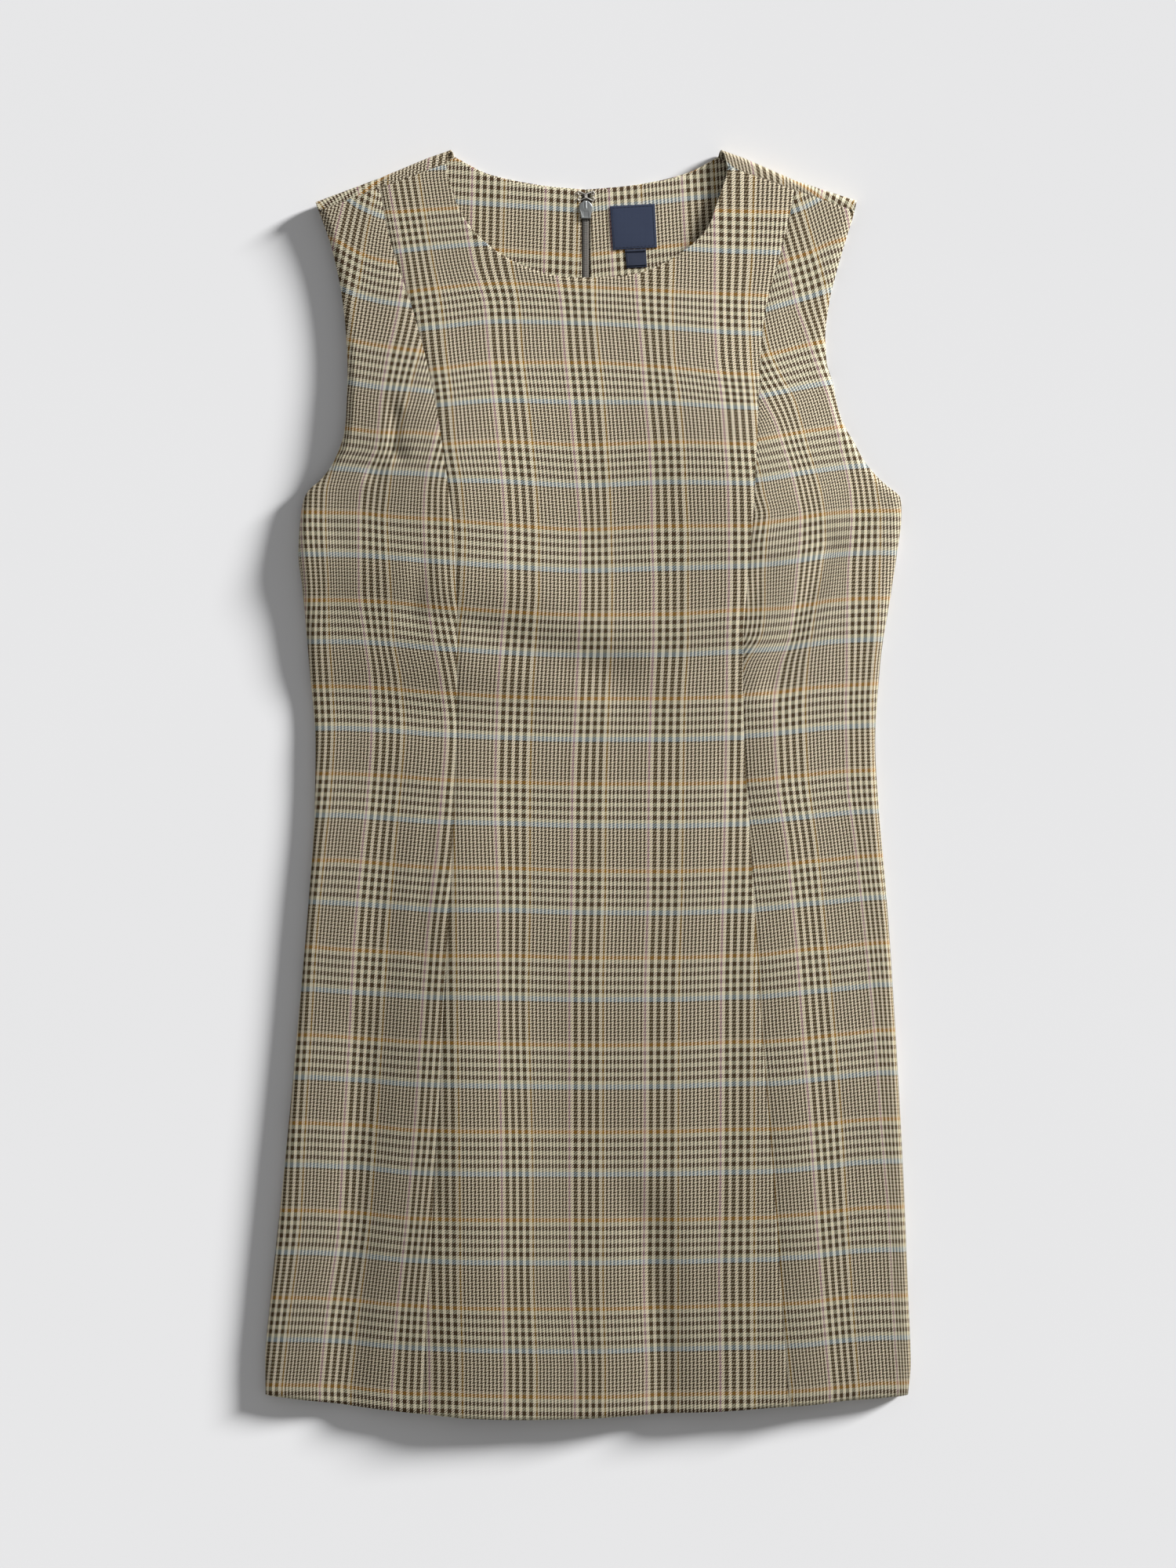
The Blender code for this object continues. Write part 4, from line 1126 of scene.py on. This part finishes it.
# The back neck facings, the label and the size tab.
facing = {
    "cloth": 1.0,
    "gap": 0.3,          # over the back panel
    "inset": 0.8,        # below the back neckline
    "centreDepth": 106.0,
    "rise": 58.0,        # how much higher its lower edge is at the shoulder
    "reach": 112.0,
    "zipSide": 3.0,      # from the middle of the zip
    "beads": [(2.2, 1.8, 0.25), (5.5, 1.0, -0.22)],  # from its zip side, half width, height
    "ripple": 0.10,
    "label": [(16.0, 40.5), (48.7, 38.7), (50.2, 70.6), (18.2, 72.4)],
    "sizeTab": [(26.8, 72.3), (42.2, 71.5), (43.0, 84.9), (28.2, 85.6)],
    "labelCloth": 0.8,
    "tabCloth": 0.6,
    "stitchInset": 1.5,
    "stitchPitch": 2.7,
    "stitchDip": (0.45, -0.16),  # half width and height of what the stitching draws in
    "stitchRun": [  # along one stitch, and its height there
        (0, -0.35), (0.12, -0.08), (0.35, 0.03), (0.65, 0.03), (0.88, -0.08), (1, -0.35),
    ],
}
facingTop = dress["cloth"] + 0.1 + facing["gap"] + facing["cloth"]


def evenly(thickness):
    return lambda flat: np.full(len(flat), thickness)


def facingHeight(x, down):
    # pressed flat, a little fuller beside the zip, and drawn in along the understitching
    zipOff = abs(x - dress["centreBack"]) - facing["zipSide"]
    height = facingTop
    for off, halfWidth, rise in facing["beads"]:
        height = height + bead(zipOff - off, halfWidth, rise)
    return height + facing["ripple"] * np.sin(x / 13 + 0.6) * np.sin(down / 11)


def neckFacing(side):
    way = inward(side)
    end = dress["centreBack"] - way * facing["zipSide"]
    upper = [(x, down + facing["inset"]) for x, down in facingEnds[side] + backNeck[side]]
    upper.append((end, dress["centreBackTop"] + facing["inset"]))
    upper = np.array(upper) * (way, 1)
    tops = spread(upper, 72)[:-1]
    tops = tops[tops[:, 0] < way * end - 1.4]
    tops = np.vstack([tops, [(way * end - off, upper[-1, 1]) for off in toEdge]]) * (way, 1)
    feet = facing["centreDepth"] - facing["rise"] * (abs(tops[:, 0] - end) / facing["reach"]) ** 2
    rows = [np.column_stack([tops[:, 0], tops[:, 1] + off]) for off in fromEdge]
    for share in np.linspace(0, 1, 34)[1:]:
        rows.append(np.column_stack([tops[:, 0], between(rows[3][:, 1], feet, share)]))
    plan = np.array(rows)
    grid = toWorld(plan[..., 0], plan[..., 1], facingHeight(plan[..., 0], plan[..., 1]))
    name = f"back_neck_facing_{side}"
    data = shell(name, [(grid, plan)], True, evenly(facing["cloth"]), strips=1)
    return place("neckFacing" + side.capitalize(), data, wool, name)


def patchPlaces(corners, downShares, acrossShares):
    upperLeft, upperRight, lowerRight, lowerLeft = np.array(corners, float)
    down, across = np.meshgrid(downShares, acrossShares, indexing="ij")
    first = upperLeft + (lowerLeft - upperLeft) * down[..., None]
    last = upperRight + (lowerRight - upperRight) * down[..., None]
    return first + (last - first) * across[..., None]


def patch(name, node, corners, thickness, lift, stitched, material):
    # a small woven piece that lies on the right facing, with its edges turned under
    sizes = math.dist(corners[0], corners[3]), math.dist(corners[0], corners[1])
    shares = []
    for size in sizes:
        ends = np.array(fromEdge + [1.3, 1.7]) / size
        shares.append(np.concatenate([ends, np.linspace(0, 1, 32)[3:-3], 1 - ends[::-1]]))
    plan = patchPlaces(corners, *shares)
    down, across = np.meshgrid(*shares, indexing="ij")
    off = np.minimum(np.minimum(down, 1 - down) * sizes[0], np.minimum(across, 1 - across) * sizes[1])
    height = lift + thickness + 0.10 * np.sin(across * 5 + 1) * np.sin(down * 4)
    if stitched:
        height = height + bead(off - facing["stitchInset"], *facing["stitchDip"])
    grid = toWorld(plan[..., 0], plan[..., 1], height)
    data = shell(node, [(grid, plan)], True, evenly(thickness), strips=1)
    return place(name, data, material, node)


def closedMesh(name, points, faces):
    # a smooth mesh with its faces turned outwards
    data = bpy.data.meshes.new(name)
    data.from_pydata(points, [], faces)
    turned = bmesh.new()
    turned.from_mesh(data)
    bmesh.ops.recalc_face_normals(turned, faces=turned.faces)
    turned.to_mesh(data)
    turned.free()
    data.shade_smooth()
    return data


def tubes(name, paths, radius, sides, material, node=None):
    # round wires, threads or ribs along paths of (x, down, height), closed at both ends
    points, faces = [], []
    turns = np.arange(sides) * 2 * np.pi / sides
    for path in paths:
        path = np.array(path, float)
        run = np.gradient(path, axis=0)
        run /= np.linalg.norm(run, axis=1)[:, None]
        across = np.cross(run, (0, 0, 1.0))
        across /= np.maximum(np.linalg.norm(across, axis=1), 1e-6)[:, None]
        rise = np.cross(across, run)
        start = len(points)
        for at, side, up in zip(path, across, rise):
            ring = at + radius * (np.cos(turns)[:, None] * side + np.sin(turns)[:, None] * up)
            points += toWorld(*ring.T).tolist()
        for ring in range(len(path) - 1):
            for turn in range(sides):
                a, b = start + ring * sides + turn, start + ring * sides + (turn + 1) % sides
                faces.append((a, b, b + sides, a + sides))
        last = start + (len(path) - 1) * sides
        faces.append(tuple(range(start, start + sides))[::-1])
        faces.append(tuple(range(last, last + sides)))
    return place(name, closedMesh(name, points, faces), material, node)


def labelStitches(top):
    # running stitches a little inside the label's edges
    corners = np.array(facing["label"], float)
    middle = corners.mean(0)
    inwards = (middle - corners) / np.linalg.norm(middle - corners, axis=1)[:, None]
    inset = corners + inwards * facing["stitchInset"] * 1.4
    shares, lifts = np.array(facing["stitchRun"]).T
    paths = []
    for first, last in zip(inset, np.roll(inset, -1, axis=0)):
        count = round(math.dist(first, last) / facing["stitchPitch"])
        for number in range(count):
            start, end = (between(first, last, (number + share) / count) for share in (0.12, 0.88))
            plan = start + (end - start) * shares[:, None]
            paths.append(np.column_stack([plan, top - 0.05 + lifts]))
    return tubes("labelStitching", paths, 0.17, 8, navyThread)


# The zip, its slider, and the hook and eye.
fastening = {
    "coilStart": 50.2,
    "coilEnd": 550.0,
    "coilPitch": 0.87,
    "tapeTop": 31.0,
    "tapeWidth": 5.2,
    "tapeBase": 1.6,
    "tapeLift": [1.62, 1.95, 1.98, 2.0, 1.98, 1.95, 1.62],  # its height across
    "rib": [  # one turn of the coil: x, down, height, with x from the middle of the zip
        (-2.45, 0.10, 1.95), (-2.30, 0.08, 2.65), (-1.5, 0, 3.0), (-0.1, -0.10, 3.02),
        (0.75, -0.20, 2.6),
    ],
    "cord": [(0.72, -0.25, 2.55), (1.3, -0.02, 2.98), (1.9, 0.22, 2.4)],
    "ribRadius": 0.36,
    "cordRadius": 0.34,
    "sliderOutline": [  # down, half width
        (36.5, 1.3), (37.0, 2.1), (37.8, 3.1), (38.7, 4.0), (39.9, 4.7), (41.6, 5.1),
        (43.2, 5.0), (44.6, 4.5), (46.0, 4.1), (47.6, 3.85), (49.9, 3.75),
    ],
    "sliderLow": 2.9,
    "sliderBody": 1.5,
    "sliderCorner": 0.6,      # radius of its edges, which are fuller in height by cornerFall
    "cornerFall": 1.6,
    "crown": (0.35, 5.2),     # height in the middle, half width
    "nose": {"bead": (0.42, 0.42), "from": (36.7, 0.8), "until": (41.6, 1.1)},
    "noseGrooves": {"bead": (0.45, -0.22), "from": (37.4, 0.8), "until": (41.4, 1.2)},
    "raisedSides": {"bead": (0.32, 0.22), "from": (42.5, 2), "in": 0.75},
    "panel": {"halfWidth": 2.1, "from": 44.2, "until": 48.9, "slope": 0.3, "depth": 0.26},
    "wire": 0.36,
    "rings": (31.0, 35.2),
    "ringRadius": 1.2,
    "tack": [  # a stitch over the wire: share of the ring's radius, height
        (0.45, -0.55), (0.75, 0.25), (1.0, 0.52), (1.25, 0.25), (1.75, -0.55),
    ],
    "tackRadius": 0.2,
    "loopRadius": 1.5,
    "hookAndEye": [  # x of the rings and of the tip, the way it points, how far the tip lifts
        ("eye", -6.2, -0.9, 1, 0.0), ("hook", 3.4, -2.2, -1, 1.1),
    ],
}


def zipChain():
    middle = dress["centreBack"]
    pitch = fastening["coilPitch"]
    count = int((fastening["coilEnd"] - fastening["coilStart"]) / pitch) - 1
    ribs, cords = [], []
    for number in range(count):
        down = fastening["coilStart"] + (number + 0.5) * pitch
        for shape, turns in (("rib", ribs), ("cord", cords)):
            turns.append([(middle + x, down + along, height) for x, along, height in fastening[shape]])
    tubes("zipCoil", ribs, fastening["ribRadius"], 6, coilNylon, "zip_chain")
    tubes("zipCord", cords, fastening["cordRadius"], 6, cordThread)
    # the tape reaches up to tapeTop between the facings, where its dark colour also stands in for the shade
    # in that gap
    top, end, half = fastening["tapeTop"], fastening["coilEnd"], fastening["tapeWidth"] / 2
    downs = np.concatenate([[top], np.arange(top + 3, end, 12), [end]])
    across = np.array([-half, -half + 0.3, -half / 2, 0, half / 2, half - 0.3, half])
    x, down = np.meshgrid(middle + across, downs)
    upper = toWorld(x, down, np.array(fastening["tapeLift"])[None] + 0 * down)
    slab("zipTape", upper, toWorld(x, down, 0 * down + fastening["tapeBase"]), tapeCloth)


def slab(name, top, bottom, material, node=None):
    # a closed solid between an upper and a lower grid of points
    rows, columns = top.shape[:2]
    count = rows * columns
    index = np.arange(count).reshape(rows, columns)
    upper = quads(index)
    rim = np.concatenate([index[0, :-1], index[:-1, -1], index[-1, :0:-1], index[:0:-1, 0]])
    sides = np.stack([rim, np.roll(rim, -1), np.roll(rim, -1) + count, rim + count], -1)
    faces = np.vstack([upper, upper[:, ::-1] + count, sides])
    points = np.vstack([top.reshape(-1, 3), bottom.reshape(-1, 3)]).tolist()
    return place(name, closedMesh(name, points, faces.tolist()), material, node)


def zipSlider():
    # a shield with rounded edges, a ridge from its nose, raised sides and a sunk plain panel
    table = fastening["sliderOutline"]
    first, last = table[0][0], table[-1][0]
    starts, ends = np.array([0, 0.08, 0.2, 0.4, 0.7]), np.array([0.5, 0.3, 0.15, 0.06, 0])
    downs = np.concatenate([first + starts, np.arange(37.6, 49.2, 0.4), last - ends])
    shares = np.sin(np.linspace(-np.pi / 2, np.pi / 2, 45))
    down, share = np.meshgrid(downs, shares, indexing="ij")
    half = readTable(table, down)
    x = half * share
    off = np.minimum(half - abs(x), np.minimum(down - first, last - down))
    corner, rise, halfCrown = fastening["sliderCorner"], *fastening["crown"]
    drop = corner - np.sqrt(corner**2 - np.clip(corner - off, 0, None) ** 2)
    low = fastening["sliderLow"]
    height = low + fastening["sliderBody"] - drop * fastening["cornerFall"]
    height += rise * (1 - (x / halfCrown) ** 2) * ramp(off, 0, 0.8)
    nose, grooves, sides, panel = (
        fastening[key] for key in ("nose", "noseGrooves", "raisedSides", "panel")
    )
    for at, shape in ((x, nose), (abs(x) - 1.05, grooves)):
        ridge = bead(at, *shape["bead"]) * (1 - ramp(down, *shape["until"]))
        height += ridge * ramp(down, *shape["from"])
    height += bead(off - sides["in"], *sides["bead"]) * ramp(down, *sides["from"])
    inPanel = np.minimum(panel["halfWidth"] - abs(x), down - panel["from"])
    inPanel = np.minimum(inPanel, panel["until"] - down)
    height -= panel["depth"] * np.clip(inPanel / panel["slope"], 0, 1)
    middle = dress["centreBack"]
    top, under = toWorld(middle + x, down, height), toWorld(middle + x * 0.94, down, 0 * x + low)
    slab("zipSlider", top, under, pewter, "zip_slider")


def ringPoints(centre, start, end, height, radius):
    # places round a small ring, between two angles in degrees from +x towards the hem
    count = max(4, round(abs(end - start) / 14))
    turns = np.radians(np.linspace(start, end, count + 1))
    x, down = centre
    return [(x + radius * math.cos(turn), down + radius * math.sin(turn), height) for turn in turns]


def hookAndEye():
    low = fastening["sliderLow"] + fastening["wire"]
    radius = fastening["ringRadius"]
    for name, ringX, tipX, way, lift in fastening["hookAndEye"]:
        facingWay = 0 if way > 0 else 180
        first, last = (
            ringPoints((ringX, down), facingWay + 40 * way, facingWay + 320 * way, low, radius)
            for down in fastening["rings"]
        )
        middle = sum(fastening["rings"]) / 2
        loop = ringPoints((tipX - way * fastening["loopRadius"], middle), facingWay - 90 * way,
                          facingWay + 90 * way, low + lift, fastening["loopRadius"])
        wire = [first + loop + last]
        tubes(name + "Wire", wire, fastening["wire"], 10, brightWire, name)
        tacks = []
        for down in fastening["rings"]:
            for angle in (110, 180, 250):
                turn = math.radians(angle if way > 0 else 180 - angle)
                right, below = math.cos(turn), math.sin(turn)
                tacks.append([
                    (ringX + right * share * radius, down + below * share * radius, low + up)
                    for share, up in fastening["tack"]
                ])
        tubes(name + "Thread", tacks, fastening["tackRadius"], 8, paleThread)


print("facings and label")
neckFacing("left")
neckFacing("right")
labelLift = facingTop + 0.2
patch(
    "neckLabel", "label", facing["label"], facing["labelCloth"], labelLift, True,
    labelCloth,
)
patch(
    "sizeTab", "size_tab", facing["sizeTab"], facing["tabCloth"], labelLift, False,
    tabCloth,
)
labelStitches(labelLift + facing["labelCloth"])
print("zip, hook and eye")
zipChain()
zipSlider()
hookAndEye()

# The floor, lights and camera.
studio = {
    "floorTones": (linear(229, 229, 230), linear(232, 232, 233)),
    # angles in degrees, with azimuth from +X to +Y
    "floorKey": {"elevation": 14, "azimuth": 28, "strength": 9.4, "angle": 11},
    "key": {"elevation": 19, "azimuth": 46, "watts": 75, "distance": 2.35, "size": 0.56},
    "sky": 0.28,
    "floorSize": 8,
    "floorDrop": 0.0003,      # below the dress, so that the two don't share a plane
    "lens": 85,
    "sensor": 36,
    "viewHeight": 1.14,       # how much of the floor the view shows, from top to bottom
    "dressHeight": 0.009,     # the height at which it shows that much
}


def floorMaterial():
    material, tree, shader = newMaterial("pale floor", Roughness=0.9, Specular_IOR_Level=0.1)
    spots = uses(tree, grain, Place=objectPlace(tree), Grain=900, Blotch=3)
    shade = mixColour(tree, spots.outputs["Soft"], *studio["floorTones"])
    tree.links.new(shade, shader.inputs["Base Color"])
    return material


def addLight(name, kind, side, distance, **settings):
    rise, turn = math.radians(side["elevation"]), math.radians(side["azimuth"])
    level = math.cos(rise)
    towards = Vector((level * math.cos(turn), level * math.sin(turn), math.sin(rise)))
    data = bpy.data.lights.new(name, kind)
    for key, value in settings.items():
        setattr(data, key, value)
    lamp = bpy.data.objects.new(name, data)
    bpy.context.scene.collection.objects.link(lamp)
    lamp.location = towards * distance
    lamp.rotation_euler = towards.to_track_quat("Z", "Y").to_euler()
    return lamp


def makeStudio():
    bpy.ops.mesh.primitive_plane_add(size=studio["floorSize"], location=(0, 0, -studio["floorDrop"]))
    floor = bpy.context.object
    floor.name = "floor"
    floor.data.materials.append(floorMaterial())
    world = bpy.data.worlds.new("studio")
    bpy.context.scene.world = world
    world.use_nodes = True
    sky = world.node_tree.nodes["Background"]
    sky.inputs["Color"].default_value = (1, 1, 1, 1)
    sky.inputs["Strength"].default_value = studio["sky"]
    # two lights from much the same side: an even one for the floor, one that fades across the dress
    far, near = studio["floorKey"], studio["key"]
    even = addLight(
        "floor key", "SUN", far, 3, energy=far["strength"], angle=math.radians(far["angle"]),
    )
    key = addLight(
        "key", "AREA", near, near["distance"], energy=near["watts"], shape="DISK", size=near["size"],
    )
    for lamp, state in ((even, "INCLUDE"), (key, "EXCLUDE")):
        lit = bpy.data.collections.new(lamp.name + " lights")
        lit.objects.link(floor)
        lit.collection_objects[0].light_linking.link_state = state
        lamp.light_linking.receiver_collection = lit
    lens = bpy.data.cameras.new("camera")
    lens.lens = studio["lens"]
    lens.sensor_width = studio["sensor"]
    lens.clip_end = 20
    camera = bpy.data.objects.new("camera", lens)
    bpy.context.scene.collection.objects.link(camera)
    distance = studio["viewHeight"] * studio["lens"] / studio["sensor"]
    camera.location = (0, 0, distance + studio["dressHeight"])
    bpy.context.scene.camera = camera
    bpy.context.scene.view_settings.view_transform = "Standard"


print("studio")
makeStudio()
